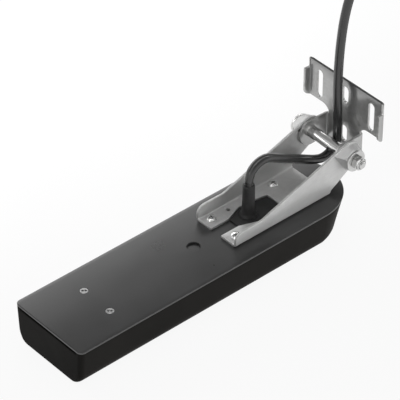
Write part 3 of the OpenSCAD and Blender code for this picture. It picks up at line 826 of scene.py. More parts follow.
    def tie(self) -> Patch:
        """Strap round the starboard leg: a rounded rectangle with walls, drawn along the leg."""
        cord = self.diameter / 2.0
        wide, tall = self.coil_columns * cord, self.coil_rows * cord
        middle = np.array([-self.coil_outer - cord + wide, self.coil_low - cord + tall])
        corners = np.array([(1, 1), (-1, 1), (-1, -1), (1, -1)])
        inner, outer = (middle + round_loop(corners * [wide + grow, tall + grow], [cord + grow] * 4, 9)
                        for grow in (0.12, self.tie_t))
        bulge = np.array([0.5, 0.12, 0.0, 0.0, 0.0, 0.12, 0.5])[:, None, None]
        grid = np.concatenate([outer + (inner - outer) * bulge, np.repeat(inner[None], 2, 0)], 0)
        reach = np.array([1, 0.97, 0.9, 0, 0.9, 0.97, 1]) ** 0.5
        place = np.concatenate([np.linspace(-1, 1, 7) * reach, [1, -1]])
        along = self.coil_x + self.tie_w / 2.0 * place[:, None]
        points = np.concatenate([np.broadcast_to(along, grid.shape[:2])[..., None], grid], -1)
        mark = np.array([1, 0.8, 0, 0, 0, 0.8, 1, 0.3, 0.3])
        return surface(points, wrap_u=True, wrap_v=True, edge=mark[:, None])

    def _on_plug(self, along: float, y: float = 0.0, z: float = 0.0) -> Triple:
        """A place by its distance along the connector from the end of the cable."""
        end = self.tail[-1]
        return (end[0] + along, end[1] + y, end[2] + z)

    @staticmethod
    def _with_rows(profile: Array, mark: Array, radius: float, places: Array) -> tuple[Array, Array]:
        """Profile and marks with rows put in after the first corner, where grooves are cut."""
        rows = np.stack([np.full(len(places), radius), places], -1)
        return np.insert(profile, 6, rows, axis=0), np.insert(mark, 6, np.zeros(len(places)))

    def boot(self) -> Patch:
        """Tapered boot of the connector with shallow rings."""
        depth, pitch = 0.45, 2.4
        at = np.linspace(0.0, self.boot_l, 67)
        radius = np.interp(at, [0, 6.6, 17.6, self.boot_l], [4.4, 4.7, 6.0, 6.0])
        ribs = depth * smooth((np.sin(at * FULL / pitch) - 0.1) / 0.5) * (at > 1.5) * (at < 16.5)
        profile = np.vstack([[0, 0], [3.6, 0], np.stack([radius - depth + ribs, at], -1), [0, self.boot_l]])
        return revolve(profile, self._on_plug(0.0), Axis.X, 40)

    def plug(self) -> Patch:
        """Connector body with grooves for the fingers."""
        r, length = self.plug_r, self.plug_l
        profile, mark = soften([[0, 0], [r, 0], [r, length], [0, length]], [0, 1.0, 0.6, 0])
        profile, mark = self._with_rows(profile, mark, r, np.linspace(profile[5, 1], 12.0, 8)[1:])

        def grip(turn: Array, along: Array, radius: Array) -> Array:
            """Radius with 20 shallow grooves over the grip."""
            zone = smooth(along - 2.0) * smooth(12.5 - along) * (radius > r - 0.5)
            return radius - 0.35 * zone * smooth(np.cos(20 * turn))

        return revolve(profile, self._on_plug(self.boot_l), Axis.X, 160, grip, mark)

    def collar(self) -> Patch:
        """Locking collar with ribs for the fingers."""
        bore, r, length = self.plug_r + 0.1, self.collar_r, self.collar_l
        mouth = r - self.collar_wall
        corners = [[bore, 0], [r, 0], [r, length], [mouth, length], [mouth, 9], [bore, self.collar_lap]]
        profile, mark = soften(corners, [0, 0.6, 0.6, 0.4, 0.3, 0])
        profile, mark = self._with_rows(profile, mark, r, np.linspace(1.0, 16.0, 12))

        def ribs(turn: Array, along: Array, radius: Array) -> Array:
            """Radius with 24 grooves along the outside."""
            zone = smooth((along - 1.2) / 0.8) * smooth((14.6 - along) / 0.8) * (radius > r - 0.2)
            return radius - 0.55 * zone * smooth(np.cos(24 * turn) * 1.6 - 0.3)

        place = self._on_plug(self.boot_l + self.plug_l - self.collar_lap)
        return revolve(profile, place, Axis.X, 192, ribs, mark, closed=True)

    def insert(self) -> Patch:
        """Inner face of the connector."""
        r, length, bore, floor = self.insert_r, self.insert_l, self.insert_r - 0.8, 4.0
        corners = [[0, 0], [r, 0], [r, length], [bore, length], [bore, floor], [0, floor]]
        place = self._on_plug(self.boot_l + self.plug_l)
        return turned(corners, [0, 0.2, 0.25, 0.2, 0.2, 0], place, Axis.X, 64)

    def contacts(self) -> Patch:
        """Six round contacts that stand in the connector."""
        corners, radii = [[0, 3.6], [0.55, 3.6], [0.55, 10.0], [0, 10.5]], [0, 0, 0.3, 0]
        places = self.contact_ring * on_circle(np.radians(np.arange(0, 360, 60) + 15.0))
        return join([turned(corners, radii, self._on_plug(self.boot_l + self.plug_l, y, z), Axis.X, 16)
                     for y, z in places])

    def build(self, paint: Palette) -> None:
        path, split = self.path()
        body = Body.TRANSDUCER
        cable = make_object("cable_run", self.tube(path, split), paint.jacket, body,
                            ["cable", "cable_coil", "cable_tail"], 60.0)
        tie = make_object("coil_strap", self.tie(), paint.strap, body, ["coil_tie"], 50.0)
        boot = make_object("plug_boot", self.boot(), paint.rubber, body, ["connector_boot"],
                           50.0)
        plug = make_object("plug_body", self.plug(), paint.plug, body, ["connector_body"])
        collar = make_object("plug_collar", self.collar(), paint.plug, body, ["connector_collar"])
        face = make_object("plug_face", self.insert(), paint.plug, body, ["connector_insert"])
        pins = make_object("plug_contacts", self.contacts(), paint.contact, body)


@dataclass
class SonarBody:
    """The moulded body: a straight section with drafted sides, and a round raked nose.

    A half profile gives the distance in from the top outline and the height. Along the straight part it is
    carried along X; round the nose it is carried along the normals of an ellipse, with the lean of the wall
    going from the side's draft to the nose's rake.
    """

    length: float = 272.6
    half: float = 37.1
    draft: float = 3.7
    rake: float = 19.3
    edge_r: float = 11.3
    aft_corner_r: float = 4.0
    aft_edge_r: float = 1.7
    aft_top_r: float = 0.6
    aft_block: float = 4.4
    top_r: float = 0.5
    cover_t: float = 1.5
    deck: float = 2.0
    ledge: float = 1.5
    lip_r: float = 0.35
    seam_h: float = 0.4
    seam_depth: float = 0.2
    rim: float = 3.0
    recess_x: float = -7.3
    recess_r: float = 5.0
    recess_depth: float = 2.2
    pin_x: float = -98.3
    pin_y: float = 14.5
    pin_r: float = 3.15
    pin_lie: float = -41.0
    rows: int = 24
    nose_rows: int = 73

    @property
    def nose_a(self) -> float:
        """Length of the nose's ellipse."""
        return self.half / math.cos(math.radians(self.rake))

    @property
    def nose_x(self) -> float:
        """Where the nose begins."""
        return DATUM.aft_x + self.length - self.nose_a

    @property
    def aft_turn(self) -> Array:
        """Angles of the rows round the upright aft corners."""
        return np.linspace(QUARTER, 0.0, 14)

    @property
    def side_x(self) -> Array:
        """Places of the rows along the straight part."""
        return np.linspace(DATUM.aft_x + self.aft_block, self.nose_x, self.rows)

    def nose_rim(self) -> tuple[Array, Array]:
        """Top outline of the nose, half an ellipse, and its outward normals."""
        turn = on_circle(np.radians(np.linspace(90.0, -90.0, self.nose_rows)))
        axes = np.array([self.nose_a, self.half])
        return [self.nose_x, 0.0] + turn * axes, unit(turn / axes)

    def brow(self, x: Array) -> Array:
        """Height of the top along the body: flat, with a quarter circle at the aft end."""
        near = np.clip(1.0 - (x - DATUM.aft_x) / self.aft_top_r, 0.0, 1.0)
        return DATUM.top_z - self.aft_top_r * (1.0 - np.sqrt(1.0 - near ** 2))

    def _wall(self, z: Array, slope: Array | float) -> Array:
        """Distance in from the top outline at a height, for walls of the given slopes."""
        return (DATUM.top_z - z) * slope

    def housing_profile(self, slope: Array) -> Profile:
        """Half profile of the lower shell.

        Sunk deck, rim with a small round, straight wall, then the arc that touches the wall and the bottom:
        its middle lies edge_r up and (H - edge_r) tan(l) + edge_r / cos(l) in.

        Args:
            slope: Tangent of the wall's lean, one per row.

        Returns:
            Distances in and heights, rows by points, and marks for rubbed wear and painted edge highlights.
        """
        slope = slope[:, None]
        lean = np.arctan(slope)
        top = np.full_like(lean, DATUM.top_z - self.cover_t)
        small = np.linspace(0.0, QUARTER, 5)[None]
        rim_z = top - self.lip_r * (1 - np.cos(small))
        rim_d = self._wall(rim_z, slope) + self.lip_r * (1 - np.sin(small))
        end_z = self.edge_r * (1 - np.sin(lean))
        wall_z = top - self.lip_r + (end_z - top + self.lip_r) * np.linspace(0.0, 1.0, 8)[None, 1:-1]
        arc = lean + (QUARTER - lean) * np.linspace(0.0, 1.0, 15)[None]
        middle = (DATUM.top_z - self.edge_r) * slope + self.edge_r / np.cos(lean)
        arc_d, arc_z = middle - self.edge_r * np.cos(arc), self.edge_r * (1 - np.sin(arc))
        start = self._wall(top, slope) + self.ledge
        inward = np.concatenate([start, start, rim_d, self._wall(wall_z, slope), arc_d], 1)
        height = np.concatenate([top - self.deck, top, rim_z, wall_z, arc_z], 1)
        return inward, height, np.repeat([0.0, 0.1, 0.0], [2, 5, 21])

    def cover_profile(self, slope: Array) -> Profile:
        """Half profile of the top cover: flat rim, round top edge, short wall, and the seam's inset tongue.

        Args:
            slope: Tangent of the wall's lean, one per row.

        Returns:
            Distances in and heights, rows by points, and wear marks.
        """
        slope = slope[:, None]
        one = np.ones_like(slope)
        foot = DATUM.top_z - self.cover_t + self.seam_h
        turn = np.linspace(0.0, QUARTER, 7)[None]
        edge_z = DATUM.top_z - self.top_r * (1 - np.cos(turn)) * one
        edge_d = self._wall(edge_z, slope) + self.top_r * (1 - np.sin(turn))
        low_z = np.array([[foot + 0.2, foot, foot, foot - self.seam_h]]) * one
        low_d = self._wall(np.maximum(low_z, foot), slope) + [0.0, 0.15, self.seam_depth, self.seam_depth]
        # Painted highlight on the round top edge; the wall and tongue take the housing's tone.
        mark = np.array([0, 0, 0, 0.3, 1, 0.6, -0.4, -1, -1, -1, -1, -1])
        return (np.concatenate([self.rim * one, edge_d, low_d], 1),
                np.concatenate([DATUM.top_z * one, edge_z, low_z], 1), mark)

    def _shell(self, profile: Callable[[Array], Profile], top_cap: bool) -> list[Patch]:
        """Straight part with its aft end, and nose, of one half profile.

        At the aft end each profile point moves in by r(1 - cos p) while x goes from r to nil, with r the
        upright corners' or the bottom edge's; no point stays above the round of the top's aft edge.

        Args:
            profile: Half profile for given slopes.
            top_cap: Whether the top is closed to the middle.

        Returns:
            The patches.
        """
        draft, rake = (math.tan(math.radians(v)) for v in (self.draft, self.rake))
        d, z, mark = profile(np.array([draft]))
        d, z, mark = np.append(d[0], self.half), np.append(z[0], z[0, -1]), np.append(mark, 0.0)
        if top_cap:
            d, z, mark = np.append(self.half, d), np.append(z[0], z), np.append(0.0, mark)
        steep = np.clip((d - self._wall(z, draft)) / self.edge_r, 0.0, 1.0)
        bottom = smooth(steep * 1.2) * (z < self.edge_r)
        radius = self.aft_corner_r + (self.aft_edge_r - self.aft_corner_r) * bottom
        turn = self.aft_turn[:, None]
        x = np.vstack([DATUM.aft_x + radius * (1 - np.sin(turn)), self.side_x[:, None] + 0 * radius])
        pull = np.vstack([1 - np.cos(turn), np.zeros((self.rows, 1))])
        y = np.maximum(self.half - d - pull * radius * (1 - bottom) * (d < self.half - 0.01), 0.0)
        height = np.minimum(z + pull * radius * bottom, self.brow(x))
        x, y, height = (np.vstack([v[:1] * k, v]) for v, k in ((x, 1), (y, 0), (height, 1)))
        share = np.concatenate([[0.0], 1 - np.sin(self.aft_turn), np.ones(self.rows)])[:, None]
        worn = np.where(mark > 0, mark * share, mark)
        parts = [surface(np.stack([x, s * y, height], -1), edge=worn) for s in SIDES]
        rim, out = self.nose_rim()
        d, z, _ = profile(out[:, 0] * rake + (1 - out[:, 0]) * draft)
        rings = [np.concatenate([rim[:, None] - out[:, None] * d[..., None], z[..., None]], -1)]
        hub = np.tile([self.nose_x, 0.0], (len(rim), 1))
        rings.append(np.concatenate([hub, z[:, -1:]], 1)[:, None])
        if top_cap:
            rings.insert(0, np.concatenate([hub, z[:, :1]], 1)[:, None])
        return parts + [surface(np.concatenate(rings, 1), edge=mark[None])]

    def housing(self) -> Patch:
        """Lower shell."""
        return join(self._shell(self.housing_profile, True))

    def cover(self) -> Patch:
        """Top cover: shell, lip over the aft edge, flat face with its holes, and wells for the pins."""
        parts = self._shell(self.cover_profile, False)
        rim, out = self.nose_rim()
        side, inner = self.side_x[:-1], self.half - self.rim
        start = DATUM.aft_x + self.aft_corner_r
        port = np.stack([side, np.full_like(side, inner)], -1)
        aft = [[start, s * inner] for s in (-1.0, 0.0, 1.0)]
        loop = np.vstack([port, rim - out * self.rim, port[::-1] * [1, -1], aft])
        turn = self.aft_turn[::-1, None]
        back = DATUM.aft_x + self.aft_corner_r * (1 - np.sin(turn))
        across = (inner - self.aft_corner_r * (1 - np.cos(turn))) * np.array([[-1.0, 0.0, 1.0]])
        lip = np.stack(np.broadcast_arrays(back, across, self.brow(back)), -1)
        fall = (DATUM.top_z - self.brow(back)) / self.aft_top_r
        parts.append(surface(lip, edge=-smooth((fall - 0.3) / 0.5) * np.ones(3)))
        r, deep = self.pin_r + 0.1, 2.6
        holes = [hole_loop((self.recess_x, 0.0), self.recess_r + 0.4, 48)]
        holes += [hole_loop((self.pin_x, s * self.pin_y), r, 36) for s in SIDES]
        flat, tris = fill([loop] + holes, NO_POINTS)
        face = np.concatenate([flat, np.full((len(flat), 1), DATUM.top_z)], 1)
        parts.append(Patch(face, NO_QUADS, tris, np.zeros(len(face)), flat))
        well = np.array([[r, 0], [r, -deep], [0, -deep]])
        parts += [revolve(well, (self.pin_x, s * self.pin_y, DATUM.top_z), Axis.Z, 36) for s in SIDES]
        return join(parts)

    def cup(self) -> Patch:
        """Round recess: turned wall and floor with a soft rim."""
        r, deep = self.recess_r, self.recess_depth
        corners = [[r + 0.4, 0], [r, -0.25], [r, -deep], [0, -deep]]
        return turned(corners, [0, 0.3, 0.5, 0], (self.recess_x, 0.0, DATUM.top_z), Axis.Z, 48, worn=0.3)

    def pad(self) -> Patch:
        """Raised pad under the strain relief, with a round upper edge."""
        half = np.array([(17.6, 4.8), (31.6, 10.2), (46.0, 9.3), (56.9, 7.2)]) + [DATUM.feet_x, 0.0]
        corners = np.vstack([half, half[::-1] * [1, -1]])
        loop = densify(round_loop(corners, [1.0, 3.0, 3.0, 1.2, 1.2, 3.0, 3.0, 1.0], 6), 2.0)

        def lay(flat: Array, lift: Array) -> Array:
            """Pattern laid on the cover, half a millimetre sunk."""
            return np.stack([flat[:, 0], flat[:, 1], DATUM.top_z + 0.45 + lift], -1)

        return FoldedSheet(loop, [], NO_POINTS, 1.9, 0.5, lay).patch()

    def pin(self, side: int) -> Patch:
        """Flush pin with two small holes, as a polar height field."""
        radius = np.concatenate([np.linspace(0.0, 2.6, 40), np.linspace(2.65, self.pin_r, 8)])
        turn = circle(96)
        x, y = radius * np.cos(turn), radius * np.sin(turn)
        ox, oy = 1.1 * on_circle(math.radians(self.pin_lie))
        hole = np.minimum(np.hypot(x - ox, y - oy), np.hypot(x + ox, y + oy))
        z = -1.9 * smooth((0.9 - hole) / 0.16) - 0.25 * smooth((radius - 2.85) / 0.3)
        base = np.array([self.pin_x, side * self.pin_y, DATUM.top_z])
        top = np.stack([x, y, z], -1) + base
        skirt = top[:, -1:] - np.array([0.0, 0.0, 2.3])
        middle = np.broadcast_to(base - np.array([0.0, 0.0, 2.55]), skirt.shape)
        mark = np.concatenate([smooth((radius - 2.5) / 0.3), [0.0, 0.0]])
        return surface(np.concatenate([top, skirt, middle], 1), wrap_u=True, edge=mark)

    def build(self, paint: Palette) -> None:
        """Makes the shell, the cover with its pad and recess, and the pins."""
        body = Body.TRANSDUCER
        make_object("lower_shell", self.housing(), paint.housing, body, ["housing"])
        make_object("top_face", self.cover(), paint.cover, body, ["top_cover"])
        make_object("cable_pad", self.pad(), paint.rubber, body, ())
        make_object("round_recess", self.cup(), paint.rubber, body, ())
        for side, name in SIDE_NAMES:
            make_object(f"flush_pin_{name}", self.pin(side), paint.pin, body, [f"cover_pin_{name}"])


@dataclass
class StrainRelief:
    """Moulded boot where the cable leaves the body."""

    x: float = 46.0
    foot_z: float = 34.3
    top_z: float = 62.5

    def patch(self) -> Patch:
        """Turned boot: flared foot, long taper and a round lip."""
        h = self.top_z - self.foot_z
        corners = [[0, 0], [7.0, 0], [6.9, 0.9], [5.6, 2.8], [5.1, 6.0], [4.75, 14.0], [4.6, h - 1.5],
                   [4.3, h - 0.3], [3.6, h], [0, h]]
        radii = [0, 0.3, 0.6, 1.5, 2.5, 6.0, 0.8, 0.4, 0.2, 0]
        return turned(corners, radii, (self.x, 0.0, self.foot_z), Axis.Z, 64, 6)

    def build(self, paint: Palette) -> None:
        """Makes the boot."""
        make_object("cable_boot", self.patch(), paint.rubber, Body.TRANSDUCER, ["strain_relief"],
                    40.0)


@dataclass
class LowerBracket:
    """Folded bracket on the body: base with a cut-out, two walls, and lugs with pressed bosses."""

    base_l: float = 94.0
    fold_r: float = 1.4
    low_h: float = 12.2
    rise_from: float = 25.5
    front_h: float = 4.0
    tip_r: float = 7.0
    gap: float = 10.8
    boss_h: float = 7.0
    boss_r: float = 11.2
    boss_top_r: float = 8.9
    boss_flat: float = 8.6
    boss_run: float = 3.4
    aft_lean: float = 214.0
    top_lean: float = 108.3
    screw_y: float = 13.5
    screw_x: tuple[float, float] = (21.7, 82.7)
    screw_hole_r: float = 2.05
    spare_x: float = 38.2
    spare_r: float = 1.6
    bevel: float = 0.3

    @property
    def flat_half(self) -> float:
        """Half width of the flat base."""
        return DATUM.wall_in - self.fold_r

    @property
    def bend_l(self) -> float:
        """Developed length of one fold."""
        return fold_length(self.fold_r)

    @property
    def bend_z(self) -> float:
        """Height of the folds' middle line."""
        return DATUM.top_z + DATUM.sheet_t + self.fold_r

    @property
    def screws(self) -> list[tuple[float, int]]:
        """Place along the length, and side, of each screw."""
        return [(x, s) for x in self.screw_x for s in SIDES]

    def across(self, z: Array | float) -> Any:
        """Developed distance from the middle for a height on the wall."""
        return self.flat_half + self.bend_l + z - self.bend_z

    def boss_span(self, x: Array, z: Array) -> tuple[Array, Array]:
        """Distance from the pivot that the boss's cone counts, and distance towards its sloping aft side.

        Between the top flat's foot point and the aft side the cone gives way to a flat: there the distance is
        the part of (x, z) along the flat's normal, elsewhere the radius.

        Args:
            x: Forward of the pivot.
            z: Above the pivot.

        Returns:
            Both distances.
        """
        a, b = math.radians(self.aft_lean), math.radians(self.top_lean)
        up = x * math.cos(b) + z * math.sin(b)
        along = x * math.sin(b) - z * math.cos(b)
        wide = np.where((up > 0) & (along < 0), up, np.hypot(x, z))
        return wide, x * math.cos(a) + z * math.sin(a)

    def fold(self, flat: Array, lift: Array) -> Array:
        """Folds the pattern up.

        The base stays flat to flat_half; a quarter turn of radius fold_r + t/2 - lift follows, then the wall.
        On the lugs the wall moves out by the boss: a cone with a sloping aft side and a flat top side.

        Args:
            flat: Pattern points, along X and across.
            lift: Height over the sheet's middle, towards the inside.

        Returns:
            Points in space.
        """
        x, q = flat[:, 0], np.abs(flat[:, 1])
        bend = np.clip((q - self.flat_half) / self.bend_l, 0.0, 1.0) * QUARTER
        radius = self.fold_r + DATUM.sheet_t / 2.0 - lift
        y = np.minimum(q, self.flat_half) + radius * np.sin(bend)
        z = self.bend_z - radius * np.cos(bend) + np.maximum(q - self.flat_half - self.bend_l, 0.0)
        wide, aft = self.boss_span(x - DATUM.pivot_x, z - DATUM.pivot_z)
        width = self.boss_r - self.boss_top_r
        outer, inner = (np.clip(np.minimum((self.boss_r - a - wide) / width, (self.boss_flat - b - aft)
                                           / self.boss_run), 0, 1) for a, b in ((0.0, 0.0), (2.0, 1.5)))
        share = 0.5 - lift / DATUM.sheet_t
        y = y + (bend >= QUARTER - 1e-9) * self.boss_h * (share * outer + (1 - share) * inner)
        return np.stack([x, np.sign(flat[:, 1]) * y, z], -1)

    def half_outline(self) -> Array:
        """Port half of the pattern's outline, from the foot's inner corner round to the front edge."""
        aft, low = DATUM.feet_x, DATUM.top_z + self.low_h
        c = np.array([DATUM.pivot_x, DATUM.pivot_z])
        rise = np.array([aft + self.rise_from, low])
        front = np.array([aft + self.base_l, DATUM.top_z + self.front_h])
        first, last = self._touch(rise, c, 1.0), self._touch(front, c, -1.0)
        a, b = (math.degrees(math.atan2(*(p - c)[::-1])) for p in (first, last))
        lug = arc_points(c, DATUM.lug_r, a, b if b < a else b - 360.0, 60)
        tip = corner_arc(np.array([aft, DATUM.top_z]), np.array([aft, low]), rise, self.tip_r, 14)
        knee = corner_arc(tip[-1], rise, first, 6.0, 8)
        heel = corner_arc(last, front, np.array([front[0], DATUM.top_z]), 1.2, 6)
        wall = np.vstack([tip, knee, lug, heel])
        wall = np.stack([wall[:, 0], self.across(wall[:, 1])], -1)
        foot = np.array([[aft + 0.5, self.gap / 2.0], [aft, self.gap / 2.0 + 0.5]])
        return np.vstack([foot, wall, [[front[0], self.flat_half]]])

    @staticmethod
    def _touch(p: Array, c: Array, side: float) -> Array:
        """Where a tangent from p meets the lug's circle."""
        d = float(np.linalg.norm(c - p))
        a = math.atan2(c[1] - p[1], c[0] - p[0]) + side * math.asin(DATUM.lug_r / d)
        return p + math.sqrt(d * d - DATUM.lug_r ** 2) * on_circle(a)

    @staticmethod
    def _rows(lean: float, away: Array, along: Array) -> Array:
        """Rows of points at distances from the pivot along a direction, spread square to it."""
        a = math.radians(lean)
        d, t = net(away, along).T
        return np.stack([d * math.cos(a) - t * math.sin(a), d * math.sin(a) + t * math.cos(a)], -1)

    def boss_points(self) -> Array:
        """Points that carry one boss, about the pivot: rings on its cone, and rows on its two flats."""
        ring, turn = net(np.arange(3.7, 11.25, 0.28), np.radians(np.arange(0, 360, 5.0))).T
        cone = ring[:, None] * on_circle(turn)
        limit = self.boss_flat - self.boss_run - 0.2
        wide, aft = self.boss_span(*cone.T)
        cone = cone[(aft < limit) & (wide >= np.hypot(*cone.T) - 1e-6)]
        slope = self._rows(self.aft_lean, self.boss_flat - self.boss_run * np.linspace(0, 1, 6),
                           np.arange(-13, 13, 0.5))
        away = np.linspace(self.boss_top_r, self.boss_r, 6)
        top = self._rows(self.top_lean, away, np.arange(0.0, 14.0, 0.5))
        return np.vstack([cone, slope, top[self.boss_span(*top.T)[1] < limit]])

    def patch(self) -> Patch:
        """The folded bracket."""
        port, x, lane = self.half_outline(), DATUM.feet_x, self.gap / 2.0
        window = np.array([(0.0, lane), (17.0, lane), (31.6, 10.8), (46.0, 9.9), (57.5, 7.8)]) + [x, 0.0]
        window = np.vstack([window, window[::-1] * [1, -1]])
        cut = [corner_arc(*window[i:i + 3], 1.6, 6) for i in range(len(window) - 2)]
        outline = densify(np.vstack([port[::-1], *cut, port * [1, -1]]), 1.4)
        pivot = np.array([DATUM.pivot_x, self.across(DATUM.pivot_z)])
        holes = [hole_loop((sx, s * self.screw_y), self.screw_hole_r, 24) for sx, s in self.screws]
        holes += [hole_loop((self.spare_x, s * self.screw_y), self.spare_r, 24) for s in SIDES]
        holes += [hole_loop(pivot * [1, s], DATUM.hole_r, 48) for s in SIDES]
        rows = self.flat_half + self.bend_l * np.linspace(0.0, 1.0, 7)
        extra = np.vstack([net(np.arange(x + 1.5, x + self.base_l, 2.5), rows), self.boss_points() + pivot])
        extra = np.vstack([extra, extra * [1, -1]])
        return FoldedSheet(outline, holes, extra, DATUM.sheet_t, self.bevel, self.fold).patch()

    def screw(self, x: float, side: int) -> Patch:
        """Pan-head screw: a polar height field with a cross recess for the head, and a plain shank."""
        arm_half, arm_reach = 0.52, 2.35
        radius = np.concatenate([np.linspace(0.0, 2.6, 34), np.linspace(2.7, 4.0, 12)])
        turn = circle(96)
        px, py = radius * np.cos(turn + 0.5 * side + x), radius * np.sin(turn + 0.5 * side + x)
        dome = 2.6 - 0.055 * radius ** 2 - 0.9 * smooth((radius - 3.1) / 0.9) ** 2 + 0 * turn
        arm = np.maximum(*(smooth((arm_half - np.abs(v)) / 0.22) for v in (px, py)))
        deep = arm * smooth((arm_reach - radius) / 0.5) * (1.5 - 0.35 * radius)
        under = np.array([[4.0, 0.25], [3.85, 0.0], [2.0, 0.0], [2.0, -9.0], [0.0, -10.8]])
        r = np.concatenate([radius, under[:, 0]])
        z = np.concatenate([dome - deep, np.broadcast_to(under[:, 1], (96, 5))], 1)
        base = np.array([x, side * self.screw_y, DATUM.top_z + DATUM.sheet_t])
        # Painted highlight and rubbed wear on the head's rim; painted shade in the cross recess.
        mark = np.concatenate([0.6 * smooth((radius - 2.8) / 0.6) - 1.1 * np.clip(deep, 0, 0.6),
                               np.broadcast_to([0.6, 0.3, 0, 0, 0], (96, 5))], 1)
        return surface(np.stack([r * np.cos(turn), r * np.sin(turn), z], -1) + base, wrap_u=True, edge=mark)

    def build(self, paint: Palette) -> None:
        """Makes the bracket and its four screws."""
        body = Body.TRANSDUCER
        make_object("body_bracket", self.patch(), paint.sheet, body, ["transducer_bracket"],
                    28.0)
        for number, (x, side) in enumerate(self.screws, 1):
            make_object(f"pan_screw_{number}", self.screw(x, side), paint.hardware, body,
                        [f"bracket_screw_{number}"], 40.0)


@dataclass
class TransomPlate:
    """Upper bracket: slotted plate with end flanges, neck, and two arms folded aft to the pivot."""

    half: float = 40.5
    top: float = 49.3
    wing_bottom: float = 16.0
    flange_depth: float = 6.6
    relief_h: float = 8.5
    corner_r: float = 5.0
    end_r: float = 1.5
    fold_r: float = 1.4
    neck_r: float = 8.0
    arm_out: float = 19.7
    arm_top: float = 10.5
    slot_w: float = 6.0
    slot_l: float = 24.6
    mid_slot_l: float = 14.0
    slot_pitch: float = 27.5
    slot_mid: float = 31.0
    neck_slot_l: float = 14.0
    neck_slot_mid: float = 0.8
    bevel: float = 0.3

    @property
    def arm_flat(self) -> float:
        """Half width of the flat neck."""
        return self.arm_out - DATUM.sheet_t - self.fold_r

    @property
    def wing_flat(self) -> float:
        """Half width of the flat wings."""
        return self.half - DATUM.sheet_t - self.end_r

    @property
    def pivot_q(self) -> float:
        """Developed place of the pivot on an arm."""
        return self.arm_flat + fold_length(self.fold_r) + DATUM.plate_x - self.fold_r - DATUM.pivot_x

    def fold(self, flat: Array, lift: Array) -> Array:
        """Folds the pattern aft: arms below the neck's top, flanges above it.

        Args:
            flat: Pattern points, across and up.
            lift: Height over the sheet's middle, towards aft.

        Returns:
            Points in space.
        """
        q, z = np.abs(flat[:, 0]), flat[:, 1]
        arm = z < DATUM.pivot_z + self.arm_top + 0.05
        start = np.where(arm, self.arm_flat, self.wing_flat)
        inner = np.where(arm, self.fold_r, self.end_r)
        length = (inner + DATUM.sheet_t / 2.0) * QUARTER
        bend = np.clip((q - start) / length, 0.0, 1.0) * QUARTER
        radius = inner + DATUM.sheet_t / 2.0 - lift
        y = np.minimum(q, start) + radius * np.sin(bend)
        x = DATUM.plate_x - inner + radius * np.cos(bend) - np.maximum(q - start - length, 0.0)
        return np.stack([x, np.sign(flat[:, 0]) * y, z], -1)

    def half_outline(self) -> Array:
        """Port half of the pattern's outline, from the bottom of the neck to the top edge."""
        p, r = DATUM.pivot_z, self.neck_r
        low, high, notch_z = p + self.wing_bottom, p + self.top, p + self.top - self.relief_h
        reach = math.degrees(math.asin(self.arm_top / DATUM.lug_r))
        lug = arc_points((self.pivot_q, p), DATUM.lug_r, -90.0, reach, 60)
        turn = math.degrees(math.asin((self.arm_top - self.wing_bottom + r) / r))
        neck = arc_points((self.arm_flat + r, low - r), r, 180.0 - turn, 90.0, 16)
        bend = fold_length(self.end_r)
        end = self.wing_flat + bend + self.flange_depth - DATUM.sheet_t - self.end_r
        notch = self.wing_flat + bend * 2.0 / 3.0
        corners = np.array([[self.arm_flat + r, low], [end, low], [end, notch_z], [notch, notch_z],
                            [notch, high], [0.0, high]])
        arcs = [corner_arc(*corners[i:i + 3], r, 8) for i, r in enumerate((self.corner_r, 0.8, 0.8, 1.2))]
        return np.vstack([lug, neck] + arcs)

    def patch(self) -> Patch:
        """The folded plate; its sheared top edge carries a negative mark, a painted dark reflection that
        darkens it.
        """
        port = self.half_outline()
        outline = densify(np.vstack([port, port[::-1] * [-1, 1]]), 1.4)
        p, w = DATUM.pivot_z, self.slot_w
        holes = [slot_loop((s * self.slot_pitch, p + self.slot_mid), w, self.slot_l) for s in (-1, 1)]
        level = p + self.slot_mid + (self.slot_l - self.mid_slot_l) / 2.0
        holes.append(slot_loop((0.0, level), w, self.mid_slot_l))
        holes.append(slot_loop((0.0, p + self.neck_slot_mid), w, self.neck_slot_l))
        holes += [hole_loop((s * self.pivot_q, p), DATUM.hole_r, 48) for s in SIDES]
        arm_q = self.arm_flat + fold_length(self.fold_r) * np.linspace(0.0, 1.0, 7)
        end_q = self.wing_flat + fold_length(self.end_r) * np.linspace(0.0, 1.0, 8)
        extra = np.vstack([net(arm_q, np.arange(p - 10.5, p + 10.0, 2.2)),
                           net(end_q, np.arange(p + 17.5, p + self.top, 2.2))])
        extra = np.vstack([extra, extra * [-1, 1]])
        holes = [densify(h, 1.6) for h in holes]
        made = FoldedSheet(outline, holes, extra, DATUM.sheet_t, self.bevel, self.fold).patch()
        # Painted dark reflection along the top edge.
        made.edge = np.where(made.points[:, 2] > p + self.top - 0.35, -made.edge, made.edge)
        return made

    def build(self, paint: Palette) -> None:
        """Makes the plate."""
        make_object("transom_plate", self.patch(), paint.plate, Body.TRANSOM_MOUNT, ["transom_bracket"],
                    28.0)


